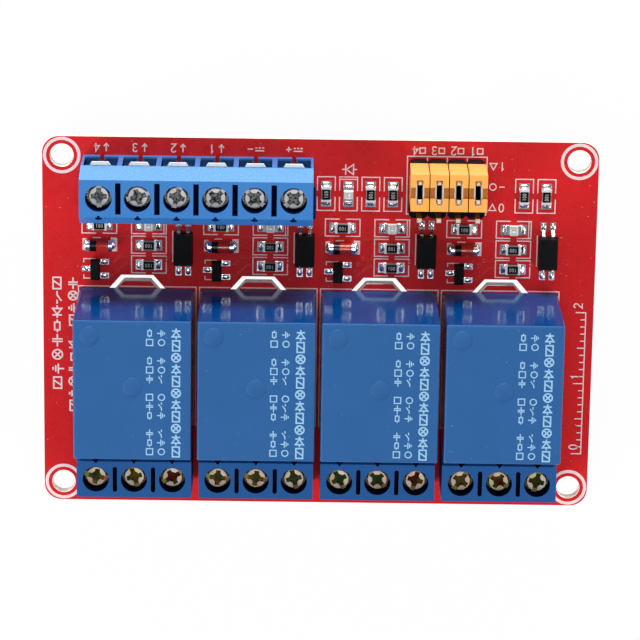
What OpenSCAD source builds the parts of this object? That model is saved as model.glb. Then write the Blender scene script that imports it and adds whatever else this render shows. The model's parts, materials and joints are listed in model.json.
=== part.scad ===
/* [Board] */
// Board thickness
board_t = 1.6; // [1.2:0.1:2.4]
// Distance from each mounting hole's centre to the two board edges beside it
hole_inset = 2.6; // [2.4:0.1:3]
// Mounting hole diameter
hole_d = 3.2; // [2.5:0.1:3.6]
// Radius of the board's corners
corner_r = 2.3; // [1:0.1:3]
// Board edge to the side of the outermost relay
side_margin = 4.875; // [4.7:0.025:8]
// Board edge to the entry face of the input terminal
input_margin = 2.5; // [1.5:0.1:6]
// Board edge to the entry face of the output terminals
output_margin = 3.1; // [1.5:0.1:6]
// Depth of the strip of small parts between the relays and the input terminal
parts_strip = 11.1; // [10.8:0.1:16]
// Gap between a relay and the output terminal in front of it
relay_term_gap = 0.7; // [0.3:0.1:3]
// Width of the milled isolation slots
slot_w = 0.85; // [0.6:0.05:1.2]
// Height that the solder joints stand out below the board
solder_h = 0.9; // [0.5:0.1:1.2]
// Diameter of the solder joints at the board
solder_d = 2; // [1.8:0.1:2.2]
// Length that the trimmed terminal and relay pins stand out below the board
pin_out = 2; // [1.6:0.1:3.5]

/* [Terminals] */
// Distance from pole to pole
term_pitch = 5.08; // [5:0.02:5.6]
// Height of the housings
term_h = 10; // [9.4:0.1:12]
// Screw axis to the entry face
term_front = 3.35; // [3.2:0.05:4]
// Screw axis to the back face
term_rear = 3.85; // [3.6:0.05:4.4]
// Screw axis to each long edge of the top face
term_top = 2.5; // [2.3:0.05:2.7]
// Height of the sloped hood above the wire entries
hood_h = 4.3; // [4:0.1:4.6]
// Height of the bevel along the back edge
back_bevel_h = 2; // [1:0.1:2.4]
// Wall between two neighbouring poles
pole_wall = 0.98; // [0.7:0.02:1.2]
// Rib between two neighbouring wire entries
entry_rib = 0.68; // [0.5:0.02:0.9]
// Diameter of the screw wells
well_d = 3.48; // [3.2:0.02:3.7]
// Distance from the top face down to the clamp room's roof
well_depth = 2.6; // [2.4:0.1:3]
// Diameter of the clamp screws' heads
screw_head_d = 2.75; // [2.4:0.05:3]
// Height of the clamp screws' heads
screw_head_h = 1.3; // [1:0.1:1.4]
// Diameter of the clamp screws' shanks
screw_d = 2.4; // [2:0.1:2.5]
// Thickness of the threaded plate of a contact
clamp_plate_t = 1.2; // [0.8:0.1:1.4]
// Thickness of the contacts' folded metal
contact_t = 0.6; // [0.4:0.1:0.8]
// Thickness of the wire leaves
leaf_t = 0.3; // [0.2:0.05:0.4]
// Length that the leaves' tongues stand out of the entries
tongue_out = 0.45; // [0.2:0.05:0.8]
// Height of the sill below the wire entries
sill_h = 0.9; // [0.7:0.1:1.2]
// Gap between two neighbouring output terminals
output_gap = 0.96; // [0.6:0.02:3]

/* [Relays] */
// Width of a relay's cover
relay_w = 15.45; // [15:0.05:16.5]
// Length of a relay's cover
relay_l = 19.1; // [18.6:0.1:21]
// Height of a relay's cover
relay_h = 15.2; // [14.6:0.1:18]
// Gap between two neighbouring relays
relay_gap = 0.75; // [0.4:0.05:3]
// Wall of a relay's cover
cover_t = 0.8; // [0.6:0.05:0.9]
// Radius of the cover's edges
cover_r = 0.35; // [0.2:0.05:0.5]
// Height of the relay's base plate
base_t = 2; // [1.6:0.1:2.4]
// Stand-off below the relay's base plate
base_lift = 0.4; // [0.2:0.1:0.6]
// Thickness of the yoke
yoke_t = 1; // [0.8:0.1:1.2]
// Gap between the yoke and the cover's side walls
yoke_gap = 2.4; // [2.2:0.1:3]
// Diameter of the core
core_d = 4; // [3:0.1:4.6]
// Diameter of the core's pole face
pole_d = 5.6; // [4.8:0.1:6.4]
// Height of the core's pole face
pole_h = 0.6; // [0.4:0.1:0.8]
// Thickness of the bobbin's flanges
flange_t = 0.7; // [0.5:0.1:0.9]
// Wall of the bobbin's tube
bobbin_wall = 0.5; // [0.4:0.05:0.7]
// Diameter of the winding
winding_d = 8.2; // [7:0.1:8.4]
// Thickness of the armature
armature_t = 1; // [0.8:0.1:1.2]
// Angle that the armature swings through
armature_swing = 3; // [2:0.1:4]
// Thickness of the contact leaf
spring_t = 0.25; // [0.2:0.05:0.3]
// Diameter of the contact rivets
rivet_d = 2.4; // [2:0.1:2.6]
// Height of each contact rivet
rivet_h = 0.4; // [0.3:0.05:0.5]
// Thickness of the fixed contacts' strips
strip_t = 0.5; // [0.4:0.05:0.6]
// Width of the fixed contacts' strips
strip_w = 2.4; // [2:0.1:2.6]

/* [Selector header] */
// Distance from pin to pin
pin_pitch = 2.54; // [2.5:0.01:2.8]
// Side of the square pins
pin_side = 0.64; // [0.5:0.02:0.66]
// Height of the header's base
header_h = 2.5; // [2:0.1:3]
// Length that the header's pins stand out below the board
header_pin_out = 1.4; // [1.2:0.1:1.5]
// Length of a jumper cap along the pins' row
cap_l = 5; // [4.8:0.05:5.1]
// Height of a jumper cap
cap_h = 6; // [5:0.1:8]
// Gap between two neighbouring caps
cap_gap = 0.14; // [0.1:0.02:0.3]
// Width of the clip's metal
clip_t = 0.2; // [0.15:0.01:0.22]

/* [Small parts] */
// Length of a chip resistor
chip_l = 2; // [1.6:0.05:2.2]
// Width of a chip resistor
chip_w = 1.25; // [0.8:0.05:1.4]
// Height of a chip resistor
chip_h = 0.55; // [0.4:0.05:0.7]
// Distance between two rows of small parts
row_pitch = 2.72; // [2.6:0.02:3]
// Length of a glass diode
diode_l = 3.5; // [3:0.1:3.8]
// Diameter of a glass diode's end caps
diode_d = 1.6; // [1.4:0.05:1.7]
// Height of an optocoupler above the board
opto_h = 2; // [1.6:0.1:2.4]
// Height of a transistor above the board
transistor_h = 1.1; // [0.9:0.05:1.3]
// End of the input terminal to the first small part beside it
supply_gap = 1.75; // [1.4:0.05:3]
// Distance between two small parts beside the input terminal
supply_pitch = 2.96; // [2.4:0.02:4]
// Middle of the header to the small part before it
header_gap = 7.1; // [6.6:0.1:12]

/* [Hidden] */
$fn = 48;
CHANNELS = 4;
INPUT_POLES = 6;
OUTPUT_POLES = 3;
HEADER_COLS = 4;
HEADER_ROWS = 3;
SINGLES = [
    "board", "solder_joints",
    "input_terminal_housing", "input_terminal_contacts", "input_wire_leaves", "input_clamp_screws",
    "output_terminal_contacts", "output_wire_leaves", "output_clamp_screws",
    "header_bases", "header_pins",
    "chip_resistors", "chip_leds", "glass_diodes", "transistors", "optocouplers"
];
PER_CHANNEL = [
    "output_terminal_housing",
    "relay_cover", "relay_base", "relay_pins", "relay_yoke", "relay_bobbin", "relay_winding",
    "relay_armature", "relay_contact_leaf",
    "jumper_cap", "jumper_clip"
];

// A cut runs this far past the faces that it opens
past = 1;
// Play between two pieces that slide over or turn in each other
running = 0.05;
// Play round a loosely fitted piece
loose = 0.1;

// Rows across the board, from the output side to the input side. The origin is the centre of the
// mounting holes on the board's underside.
term_depth = term_front + term_rear;
board_w = output_margin + term_depth + relay_term_gap + relay_l + parts_strip + term_depth + input_margin;
output_y = -board_w / 2 + output_margin + term_front;
relay_y = output_y + term_rear + relay_term_gap + relay_l / 2;
strip_y = relay_y + relay_l / 2;
input_y = board_w / 2 - input_margin - term_front;

// Columns along the board
input_l = INPUT_POLES * term_pitch;
output_l = OUTPUT_POLES * term_pitch;
channel_pitch = max(relay_w + relay_gap, output_l + output_gap);
board_l = (CHANNELS - 1) * channel_pitch + relay_w + 2 * side_margin;
hole_x = board_l / 2 - hole_inset;
hole_y = board_w / 2 - hole_inset;
input_x = -channel_pitch;
supply_back = 1.55;
header_back = 0.35;
end_part_gap = 3.24;
supply_x = input_x + input_l / 2 + supply_gap;
supply_y = input_y - supply_back;
header_x = supply_x + 3 * supply_pitch + header_gap;
header_y = input_y - header_back;
end_parts_x = header_x + header_gap + end_part_gap;
function channel_x(c) = (c - (CHANNELS + 1) / 2) * channel_pitch;

// Terminals: x along the row, +Y out of the wire entries, heights from the board's top face
term_roof = term_h - well_depth;
entry_top = term_h - hood_h;
room_w = term_pitch - pole_wall;
entry_w = term_pitch - entry_rib;
back_wall = 1.15;
entry_l = 1.45;
contact_play = 0.35;
leaf_inset = 0.65;
tongue_taper = 0.55;
contact_w = room_w - 2 * contact_play;
contact_rear = term_rear - back_wall - loose;
contact_front = term_front - entry_l - loose;
leaf_top = entry_top - 0.2;
leaf_w = contact_w - leaf_inset;
tongue_w = leaf_w - tongue_taper;
term_pin = [1, 0.8];
term_hole_d = 1.5;
lip = 0.25;
sill_slit = 0.55;
vent_d = 0.9;
input_slot_w = 0.72;
input_slot_l = 4.2;
output_slot_w = 0.58;
output_slot_l = 3.5;
screw_seat = term_roof + loose;
// Directions that the clamp screws' slots were last turned to, by pole
INPUT_TURNS = [91, 17, 75, 45, 139, 44];
OUTPUT_TURNS = [[168, 107, 31], [174, 170, 104], [117, 136, 75], [55, 148, 77]];
function pole_x(poles, i) = (i - (poles - 1) / 2) * term_pitch;

// Relays: measured from the middle of the relay and from the board's top face
inner_w = relay_w - 2 * cover_t;
inner_l = relay_l - 2 * cover_t;
inner_top = relay_h - cover_t;
yoke_w = inner_w - 2 * yoke_gap;
base_top = base_lift + base_t;
side_pin_inset = 1.725;
common_inset = 2.15;
contact_inset = 2.75;
pin_row_step = 2;
side_pin_x = relay_w / 2 - side_pin_inset;
common_y = relay_l / 2 - common_inset;
coil_y = common_y - pin_row_step;
contact_y = -relay_l / 2 + contact_inset;
flat_pin = [1, 0.6];
strip_pin = [strip_t, 1];
relay_hole_d = 1.4;
winding_gap = 1.4;
yoke_back = common_y - flat_pin[1] / 2;
hinge_y = yoke_back - yoke_t;
core_y = hinge_y - winding_d / 2 - winding_gap;
// The armature swings about the line x at hinge_y, hinge_z. Swung down, it lies flat on the pole
// face. At rest it is up by armature_swing, and its upper rivet meets the upper fixed contact.
arm_headroom = 1.2;
upper_arm_z = inner_top - arm_headroom;
upper_fixed_z = upper_arm_z - rivet_h;
rivet_reach = hinge_y - contact_y + rivet_d / 2;
rivet_rise = (armature_t + spring_t + rivet_h) * cos(armature_swing) + rivet_reach * sin(armature_swing);
hinge_z = upper_fixed_z - running - rivet_rise;
lower_fixed_z = hinge_z + armature_t - rivet_h - running;
pole_z = hinge_z - running;
yoke_top = hinge_z - 2 * running;
yoke_foot = base_top + yoke_t;
bobbin_top = pole_z - pole_h;
flange_lip = 1;
flange_w = yoke_w + 2 * flange_lip;
flange_l = winding_d + 0.6;
iron_gap = 2;
iron_end = contact_y + rivet_d / 2 + iron_gap;
common_strap_w = 2.5;
common_strap_h = 4;
armature_leaf_w = 3;
armature_leaf_tail = 1.5;
slot_rise = 1.4;
slot_knee = 1.25;
slot_reach = 5.5;
slot_slant = 2.3;
slot_land = 0.325;
slot_top_y = relay_l / 2 + slot_rise;
slot_knee_y = relay_l / 2 - slot_knee;
slot_end_y = relay_l / 2 - slot_reach;
slot_leg_x = side_pin_x - solder_d / 2 - slot_land - slot_w / 2;
slot_top_x = slot_leg_x - slot_slant;
RELAY_FLAT_PINS = [[0, common_y], [-side_pin_x, coil_y], [side_pin_x, coil_y]];
RELAY_STRIP_PINS = [[-side_pin_x, contact_y], [side_pin_x, contact_y]];

// Thickness of the solder round a pin's corners, at the joint's tip
solder_cover = 0.08;

// Selector header
pin_top = header_h + cap_h - loose;
header_hole_d = 1.05;
base_play = 0.1;
cap_w = pin_pitch - cap_gap;
cap_roof = 0.5;
clip_in = [pin_side + 2 * running, pin_pitch + pin_side + 2 * running];
clip_out = clip_in + [2 * clip_t, 2 * clip_t];
cap_room = clip_out + [loose, loose];
cap_groove = 1.45;
function header_col(c) = header_x + (c - (HEADER_COLS + 1) / 2) * pin_pitch;
function header_row(r) = header_y + (r - (HEADER_ROWS - 1) / 2) * pin_pitch;

// Small parts, measured from the channel's centre line and the relay's edge
chip_cap = 0.35;
chip_step = 0.04;
column_x = 1.55;
left_column_x = -5.05;
first_row = 3.3;
transistor_at = [-5.6, first_row - 0.65];
opto_at = [6.15, first_row + 2.55];
led_lens = 1.2;
led_h = 0.8;
led_base_h = 0.35;
opto_body = [2.6, 4.4];
opto_span = 7;
opto_pitch = 1.27;
transistor_body = [1.3, 2.9];
transistor_span = 2.5;
transistor_pitch = 1.9;
lead_t = 0.15;

// Places and holders

module on_board(x, y) {
    translate([x, y, board_t]) children();
}

module at_input_poles() {
    for (i = [0:INPUT_POLES - 1])
        on_board(input_x + pole_x(INPUT_POLES, i), input_y) children();
}

module at_output_poles() {
    for (c = [1:CHANNELS], i = [0:OUTPUT_POLES - 1])
        on_board(channel_x(c) + pole_x(OUTPUT_POLES, i), output_y) rotate(180) children();
}

module at_header_pins() {
    for (c = [1:HEADER_COLS], r = [0:HEADER_ROWS - 1])
        on_board(header_col(c), header_row(r)) children();
}

module at_relay(c) {
    on_board(channel_x(c), relay_y) children();
}

// The armature's body, drawn swung down and lifted to its rest about the hinge line
module at_armature(c) {
    at_relay(c)
        translate([0, hinge_y, hinge_z])
            rotate([-armature_swing, 0, 0])
                translate([0, -hinge_y, -hinge_z]) children();
}

// Basic shapes

module block(size, z0, z1) {
    translate([-size[0] / 2, -size[1] / 2, z0]) cube([size[0], size[1], z1 - z0]);
}

module rounded_rectangle(l, w, r) {
    square([l - 2 * r, w], center = true);
    square([l, w - 2 * r], center = true);
    for (sx = [-1, 1], sy = [-1, 1])
        translate([sx * (l / 2 - r), sy * (w / 2 - r)]) circle(r);
}

module extrude_x(l) {
    rotate([90, 0, 90]) translate([0, 0, -l / 2]) linear_extrude(l) children();
}

module extrude_y(l) {
    rotate([90, 0, 0]) translate([0, 0, -l / 2]) linear_extrude(l) children();
}

// A block with round upright and top edges: the common part of three extruded outlines
module soft_block(w, l, h, r) {
    intersection() {
        linear_extrude(h) rounded_rectangle(w, l, r);
        extrude_y(l + past) top_rounded(w, h, r);
        extrude_x(w + past) top_rounded(l, h, r);
    }
}

module top_rounded(w, h, r) {
    translate([-w / 2, -past]) square([w, h - r + past]);
    translate([-w / 2 + r, -past]) square([w - 2 * r, h + past]);
    for (s = [-1, 1])
        translate([s * (w / 2 - r), h - r]) circle(r);
}

// A square pin with both ends chamfered
module square_pin(side, z0, z1) {
    chamfer = side / 4;
    outline = [
        [-side / 2 + chamfer, z0], [side / 2 - chamfer, z0], [side / 2, z0 + 2 * chamfer],
        [side / 2, z1 - 2 * chamfer], [side / 2 - chamfer, z1], [-side / 2 + chamfer, z1],
        [-side / 2, z1 - 2 * chamfer], [-side / 2, z0 + 2 * chamfer]
    ];
    intersection() {
        extrude_x(side) polygon(outline);
        extrude_y(side) polygon(outline);
    }
}

// A bent lead in the plane of x and z, from the package's side at root to its tip on the board
module gull_lead(root, tip, knee_z, foot, width) {
    shoulder = root + lead_t;
    ankle = tip - foot;
    bend = lead_t * 0.6;
    extrude_y(width)
        polygon([
            [root - lead_t, knee_z], [shoulder, knee_z], [ankle, lead_t], [tip, lead_t],
            [tip, 0], [ankle - bend, 0], [shoulder - bend, knee_z - lead_t],
            [root - lead_t, knee_z - lead_t]
        ]);
}

// A moulded package whose sides draw in above and below its parting line
module moulded_package(size, z0, z1) {
    draw_in = 0.12;
    middle = (z0 + z1) / 2;
    intersection() {
        extrude_y(size[1] + past) package_outline(size[0], z0, middle, z1, draw_in);
        extrude_x(size[0] + past) package_outline(size[1], z0, middle, z1, draw_in);
    }
}

module package_outline(w, z0, middle, z1, draw_in) {
    polygon([
        [-w / 2 + draw_in, z0], [w / 2 - draw_in, z0], [w / 2, middle],
        [w / 2 - draw_in, z1], [-w / 2 + draw_in, z1], [-w / 2, middle]
    ]);
}

// Board

function unit(v) = v / norm(v);
function left_of(v) = [-v[1], v[0]];

// Point i of a path moved sideways, with mitred corners
function beside(path, i, aside) =
    let (
        last = len(path) - 1,
        before = left_of(unit(path[max(i, 1)] - path[max(i, 1) - 1])),
        after = left_of(unit(path[min(i + 1, last)] - path[min(i + 1, last) - 1])),
        middle = unit(before + after)
    )
    path[i] + middle * aside / (middle * before);

function round_end(tip, from, w) =
    let (heading = atan2((tip - from)[1], (tip - from)[0]))
    [for (a = [60:-30:-60]) tip + w / 2 * [cos(heading + a), sin(heading + a)]];

// The milled slot between a relay's common pin and its coil pins
module isolation_slot() {
    path = [
        [-slot_leg_x, slot_end_y], [-slot_leg_x, slot_knee_y], [-slot_top_x, slot_top_y],
        [slot_top_x, slot_top_y], [slot_leg_x, slot_knee_y], [slot_leg_x, slot_end_y]
    ];
    last = len(path) - 1;
    polygon(concat(
        [for (i = [0:last]) beside(path, i, slot_w / 2)],
        round_end(path[last], path[last - 1], slot_w),
        [for (i = [last:-1:0]) beside(path, i, -slot_w / 2)],
        round_end(path[0], path[1], slot_w)
    ));
}

module board_outline() {
    difference() {
        rounded_rectangle(board_l, board_w, corner_r);
        for (sx = [-1, 1], sy = [-1, 1])
            translate([sx * hole_x, sy * hole_y]) circle(d = hole_d);
        for (i = [0:INPUT_POLES - 1])
            translate([input_x + pole_x(INPUT_POLES, i), input_y]) circle(d = term_hole_d);
        for (c = [1:CHANNELS]) translate([channel_x(c), 0]) channel_holes();
        for (c = [1:HEADER_COLS], r = [0:HEADER_ROWS - 1])
            translate([header_col(c), header_row(r)]) circle(d = header_hole_d);
    }
}

module channel_holes() {
    for (i = [0:OUTPUT_POLES - 1])
        translate([pole_x(OUTPUT_POLES, i), output_y]) circle(d = term_hole_d);
    translate([0, relay_y]) {
        isolation_slot();
        for (p = concat(RELAY_FLAT_PINS, RELAY_STRIP_PINS)) translate(p) circle(d = relay_hole_d);
    }
}

module board() {
    color("firebrick") linear_extrude(board_t) board_outline();
}

// A solder joint round a pin of the given section, hanging below the board. Its side is hollow,
// drawn up the pin and out over the pad.
module solder_joint(section) {
    tip_r = norm(section) / 2 + solder_cover;
    steps = 4;
    translate([0, 0, -board_t])
        difference() {
            rotate_extrude()
                polygon(concat(
                    [[0, 0]],
                    [for (i = [0:steps])
                        let (t = i / steps)
                        [tip_r + (solder_d / 2 - tip_r) * pow(1 - t, 2), -solder_h * t]],
                    [[0, -solder_h]]
                ));
            block(section, -solder_h - past, past);
        }
}

module solder_joints() {
    color("silver") {
        at_input_poles() solder_joint(term_pin);
        at_output_poles() solder_joint(term_pin);
        at_header_pins() solder_joint([pin_side, pin_side]);
        for (c = [1:CHANNELS])
            at_relay(c) {
                for (p = RELAY_FLAT_PINS) translate(p) solder_joint(flat_pin);
                for (p = RELAY_STRIP_PINS) translate(p) solder_joint(strip_pin);
            }
    }
}

// Terminals

module housing_outline() {
    polygon([
        [-term_rear, 0], [term_front, 0], [term_front, entry_top], [term_top, term_h],
        [-term_top, term_h], [-term_rear, term_h - back_bevel_h]
    ]);
}

// Everything that is open at one pole: screw well, clamp room, wire entry with its split sill, and
// the small round hole in the back bevel
module pole_openings() {
    room_front = contact_front + loose;
    room_l = contact_rear + loose + room_front;
    tray_l = term_front - room_front - 2 * lip;
    tray_w = (entry_w - sill_slit) / 2 - lip;
    translate([0, 0, term_roof - past]) cylinder(d = well_d, h = well_depth + 2 * past);
    translate([-room_w / 2, -contact_rear - loose, -past]) cube([room_w, room_l, term_roof + past]);
    translate([-entry_w / 2, 0, sill_h]) cube([entry_w, term_front + past, entry_top - sill_h]);
    translate([-sill_slit / 2, 0, -past]) cube([sill_slit, term_front + past, sill_h + 2 * past]);
    for (s = [-1, 1])
        translate([s * (entry_w - tray_w) / 2, room_front + lip + tray_l / 2, 0])
            block([tray_w, tray_l], lip, sill_h + past);
    translate([0, -term_rear - past, term_h - 0.42])
        rotate([-90, 0, 0]) cylinder(d = vent_d, h = term_rear - term_top + past + 0.2);
}

module terminal_housing(poles) {
    difference() {
        extrude_x(poles * term_pitch) housing_outline();
        for (i = [0:poles - 1]) translate([pole_x(poles, i), 0, 0]) pole_openings();
        for (i = [1:poles - 1])
            translate([pole_x(poles, i) - term_pitch / 2, 0, term_roof + 2 * loose])
                linear_extrude(well_depth) children();
    }
}

module input_terminal_housing() {
    rib = [0.35, 2.2];
    color("royalblue")
        on_board(input_x, input_y) {
            terminal_housing(INPUT_POLES) square([input_slot_w, input_slot_l], center = true);
            translate([input_l / 2 + rib[0] / 2, -term_rear + 0.95 + rib[1] / 2, 0])
                block(rib, 0, term_h - back_bevel_h);
        }
}

module output_terminal_housing(c) {
    slot_r = output_slot_w / 2 - 0.01;
    color("royalblue")
        on_board(channel_x(c), output_y)
            rotate(180)
                terminal_housing(OUTPUT_POLES) rounded_rectangle(output_slot_w, output_slot_l, slot_r);
}

// A strap folded round the wire's room, threaded for the screw, with the solder pin below
module contact() {
    back = -contact_rear;
    difference() {
        extrude_x(contact_w)
            polygon([
                [back, sill_h], [contact_front, sill_h], [contact_front, sill_h + contact_t],
                [back + contact_t, sill_h + contact_t], [back + contact_t, term_roof - clamp_plate_t],
                [contact_front, term_roof - clamp_plate_t], [contact_front, term_roof],
                [back, term_roof]
            ]);
        translate([0, 0, term_roof - clamp_plate_t - past])
            cylinder(d = screw_d + 2 * running, h = clamp_plate_t + 2 * past);
    }
    block(term_pin, -board_t - pin_out, sill_h + contact_t / 2);
}

// The leaf that keeps the screw's point off the wire, with its tongue out of the entry
module wire_leaf() {
    back = -contact_rear + contact_t;
    translate([0, 0, leaf_top - leaf_t])
        linear_extrude(leaf_t)
            polygon([
                [-leaf_w / 2, back], [leaf_w / 2, back], [leaf_w / 2, term_front],
                [tongue_w / 2, term_front + tongue_out], [-tongue_w / 2, term_front + tongue_out],
                [-leaf_w / 2, term_front]
            ]);
}

// A screw with a cross recess and a slot across its whole head. Forming the slot has pushed its ends
// out past the rim. turn is the slot's direction.
module clamp_screw(turn) {
    edge = 0.15;
    end_out = 0.18;
    end_h = 0.45;
    arm = [0.76, 0.235] * screw_head_d;
    recess_depth = 0.7;
    pit_d = 0.56 * screw_head_d;
    slot_depth = 0.35;
    top = screw_seat + screw_head_h;
    floor_z = top - slot_depth;
    rotate(turn)
        difference() {
            union() {
                translate([0, 0, screw_seat]) cylinder(d = screw_head_d, h = screw_head_h - edge);
                translate([0, 0, top - edge])
                    cylinder(d1 = screw_head_d, d2 = screw_head_d - 2 * edge, h = edge);
                block([screw_head_d + 2 * end_out, arm[1]], floor_z - end_h, floor_z);
                translate([0, 0, leaf_top + loose]) cylinder(d = screw_d, h = screw_seat - leaf_top);
            }
            for (a = [0, 90]) rotate(a) block(arm, top - recess_depth, top + past);
            translate([0, 0, top - recess_depth])
                cylinder(d1 = pit_d / 2, d2 = pit_d, h = recess_depth + running);
            block([screw_head_d + past, arm[1]], floor_z, top + past);
        }
}

module input_terminal_contacts() {
    color("silver") at_input_poles() contact();
}

module input_wire_leaves() {
    color("whitesmoke") at_input_poles() wire_leaf();
}

module input_clamp_screws() {
    color("lightgray")
        for (i = [0:INPUT_POLES - 1])
            on_board(input_x + pole_x(INPUT_POLES, i), input_y) clamp_screw(INPUT_TURNS[i]);
}

module output_terminal_contacts() {
    color("silver") at_output_poles() contact();
}

module output_wire_leaves() {
    color("whitesmoke") at_output_poles() wire_leaf();
}

module output_clamp_screws() {
    color("darkkhaki")
        for (c = [1:CHANNELS], i = [0:OUTPUT_POLES - 1])
            on_board(channel_x(c) + pole_x(OUTPUT_POLES, i), output_y)
                clamp_screw(OUTPUT_TURNS[c - 1][i]);
}

// Relays

module relay_cover(c) {
    mark_d = 2.6;
    mark_depth = 0.1;
    color("steelblue")
        at_relay(c)
            difference() {
                soft_block(relay_w, relay_l, relay_h, cover_r);
                block([inner_w, inner_l], -past, inner_top);
                for (p = [[-relay_w / 2 + 2.1, relay_l / 2 - 2.1], [0, 0.5]])
                    translate([p[0], p[1], relay_h - mark_depth]) cylinder(d = mark_d, h = past);
            }
}

module relay_base(c) {
    color("midnightblue")
        at_relay(c)
            difference() {
                block([inner_w - 2 * running, inner_l - 2 * running], base_lift, base_top);
                for (p = RELAY_FLAT_PINS) translate(p) block(flat_pin, -past, base_top + past);
                for (p = RELAY_STRIP_PINS) translate(p) block(strip_pin, -past, base_top + past);
            }
}

// A fixed contact: pin, upright strip and an arm to the middle. side is the side of its pin, and
// facing is 1 where its rivet looks up and -1 where it looks down.
module fixed_contact(side, arm_z, facing) {
    arm_l = side_pin_x + strip_t / 2 + rivet_d / 2;
    rivet_z = facing > 0 ? arm_z + strip_t : arm_z - rivet_h;
    translate([side * side_pin_x, contact_y, 0]) {
        block(strip_pin, -board_t - pin_out, base_top + strip_t);
        block([strip_t, strip_w], base_top, arm_z + strip_t);
    }
    translate([side * (side_pin_x + strip_t / 2 - arm_l / 2), contact_y, 0])
        block([arm_l, strip_w], arm_z, arm_z + strip_t);
    translate([0, contact_y, rivet_z]) cylinder(d = rivet_d, h = rivet_h);
}

module relay_pins(c) {
    color("goldenrod")
        at_relay(c) {
            fixed_contact(-1, lower_fixed_z - rivet_h - strip_t, 1);
            fixed_contact(1, upper_arm_z, -1);
            translate([0, common_y, 0]) {
                block(flat_pin, -board_t - pin_out, base_top + strip_t);
                block([common_strap_w, flat_pin[1]], base_top, base_top + common_strap_h);
            }
            for (s = [-1, 1])
                translate([s * side_pin_x, coil_y, 0])
                    block(flat_pin, -board_t - pin_out, yoke_foot + flange_t + 0.5);
        }
}

// The yoke: foot below the bobbin, leg behind it, and the riveted core with its pole face
module relay_yoke(c) {
    color("slategray")
        at_relay(c) {
            extrude_x(yoke_w)
                polygon([
                    [iron_end, base_top], [yoke_back, base_top], [yoke_back, yoke_top],
                    [hinge_y, yoke_top], [hinge_y, yoke_foot], [iron_end, yoke_foot]
                ]);
            translate([0, core_y, yoke_foot - yoke_t / 2]) cylinder(d = core_d, h = pole_z - yoke_foot);
            translate([0, core_y, bobbin_top]) cylinder(d = pole_d, h = pole_h);
        }
}

module relay_bobbin(c) {
    hole_r = core_d / 2 + running;
    color("white")
        at_relay(c)
            difference() {
                union() {
                    translate([0, core_y, 0]) {
                        block([flange_w, flange_l], yoke_foot, yoke_foot + flange_t);
                        block([flange_w, flange_l], bobbin_top - flange_t, bobbin_top);
                        translate([0, 0, yoke_foot])
                            cylinder(r = hole_r + bobbin_wall, h = bobbin_top - yoke_foot);
                    }
                    for (s = [-1, 1]) pin_ear(s);
                }
                translate([0, core_y, yoke_foot - past]) cylinder(r = hole_r, h = bobbin_top);
                for (s = [-1, 1])
                    translate([s * side_pin_x, coil_y, 0]) block(flat_pin, 0, bobbin_top - flange_t - past);
            }
}

// The corner of the bobbin's lower flange that a coil pin stands in
module pin_ear(side) {
    ear_in = yoke_w / 2 + 0.5;
    ear_out = side_pin_x + flat_pin[0] / 2 + 0.3;
    translate([side * (ear_in + ear_out) / 2, coil_y - 0.2, 0])
        block([ear_out - ear_in, 1.6], yoke_foot, yoke_foot + flange_t);
}

module relay_winding(c) {
    inner_r = core_d / 2 + bobbin_wall + 2 * running;
    low = yoke_foot + flange_t;
    high = bobbin_top - flange_t;
    color("chocolate")
        at_relay(c)
            translate([0, core_y, low])
                difference() {
                    cylinder(d = winding_d, h = high - low);
                    translate([0, 0, -past]) cylinder(r = inner_r, h = high - low + 2 * past);
                }
}

module relay_armature(c) {
    color("slategray")
        at_armature(c)
            translate([0, (yoke_back + iron_end) / 2, 0])
                block([yoke_w, yoke_back - iron_end], hinge_z, hinge_z + armature_t);
}

module relay_contact_leaf(c) {
    leaf_z = hinge_z + armature_t;
    leaf_end = contact_y - rivet_d / 2 - 0.2;
    leaf_start = hinge_y - armature_leaf_tail;
    color("peru")
        at_armature(c) {
            translate([0, (leaf_start + leaf_end) / 2, 0])
                block([armature_leaf_w, leaf_start - leaf_end], leaf_z, leaf_z + spring_t);
            translate([0, contact_y, leaf_z - rivet_h]) cylinder(d = rivet_d, h = spring_t + 2 * rivet_h);
        }
}

// Selector header

module header_base_outline() {
    size = [2 * pin_pitch - base_play, HEADER_ROWS * pin_pitch - base_play];
    notch = 0.6;
    difference() {
        square(size, center = true);
        for (x = [-1:1], s = [-1, 1])
            translate([x * size[0] / 2, s * size[1] / 2]) rotate(45) square(notch, center = true);
        for (r = [1:HEADER_ROWS - 1], s = [-1, 1])
            translate([s * size[0] / 2, (r - HEADER_ROWS / 2) * pin_pitch]) rotate(45) square(notch, center = true);
    }
}

module header_bases() {
    color("black")
        difference() {
            for (s = [-1, 1])
                on_board(header_x + s * pin_pitch, header_y) linear_extrude(header_h) header_base_outline();
            at_header_pins() block([pin_side, pin_side], -past, header_h + past);
        }
}

module header_pins() {
    color("gold") at_header_pins() square_pin(pin_side, -board_t - header_pin_out, pin_top);
}

module at_cap(c) {
    on_board(header_col(c), header_row(HEADER_ROWS - 1) - pin_pitch / 2) children();
}

module jumper_cap(c) {
    top = header_h + cap_h;
    test_slot = [pin_side + 0.26, pin_pitch + pin_side + 0.22];
    color("orange")
        at_cap(c)
            difference() {
                block([cap_w, cap_l], header_h + running, top);
                block(cap_room, 0, top - cap_roof);
                block(test_slot, 0, top + past);
                block([cap_room[0], cap_groove - loose], 0, top + past);
                block([cap_w + past, cap_groove], top - 0.3, top + past);
            }
}

module jumper_clip(c) {
    low = header_h + 0.7;
    high = header_h + cap_h - cap_roof;
    color("silver")
        at_cap(c)
            difference() {
                block(clip_out, low, high);
                block(clip_in, 0, high + past);
            }
}

// Small parts

module at_channels(x, y) {
    for (c = [1:CHANNELS]) on_board(channel_x(c) + x, strip_y + y) children();
}

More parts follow.
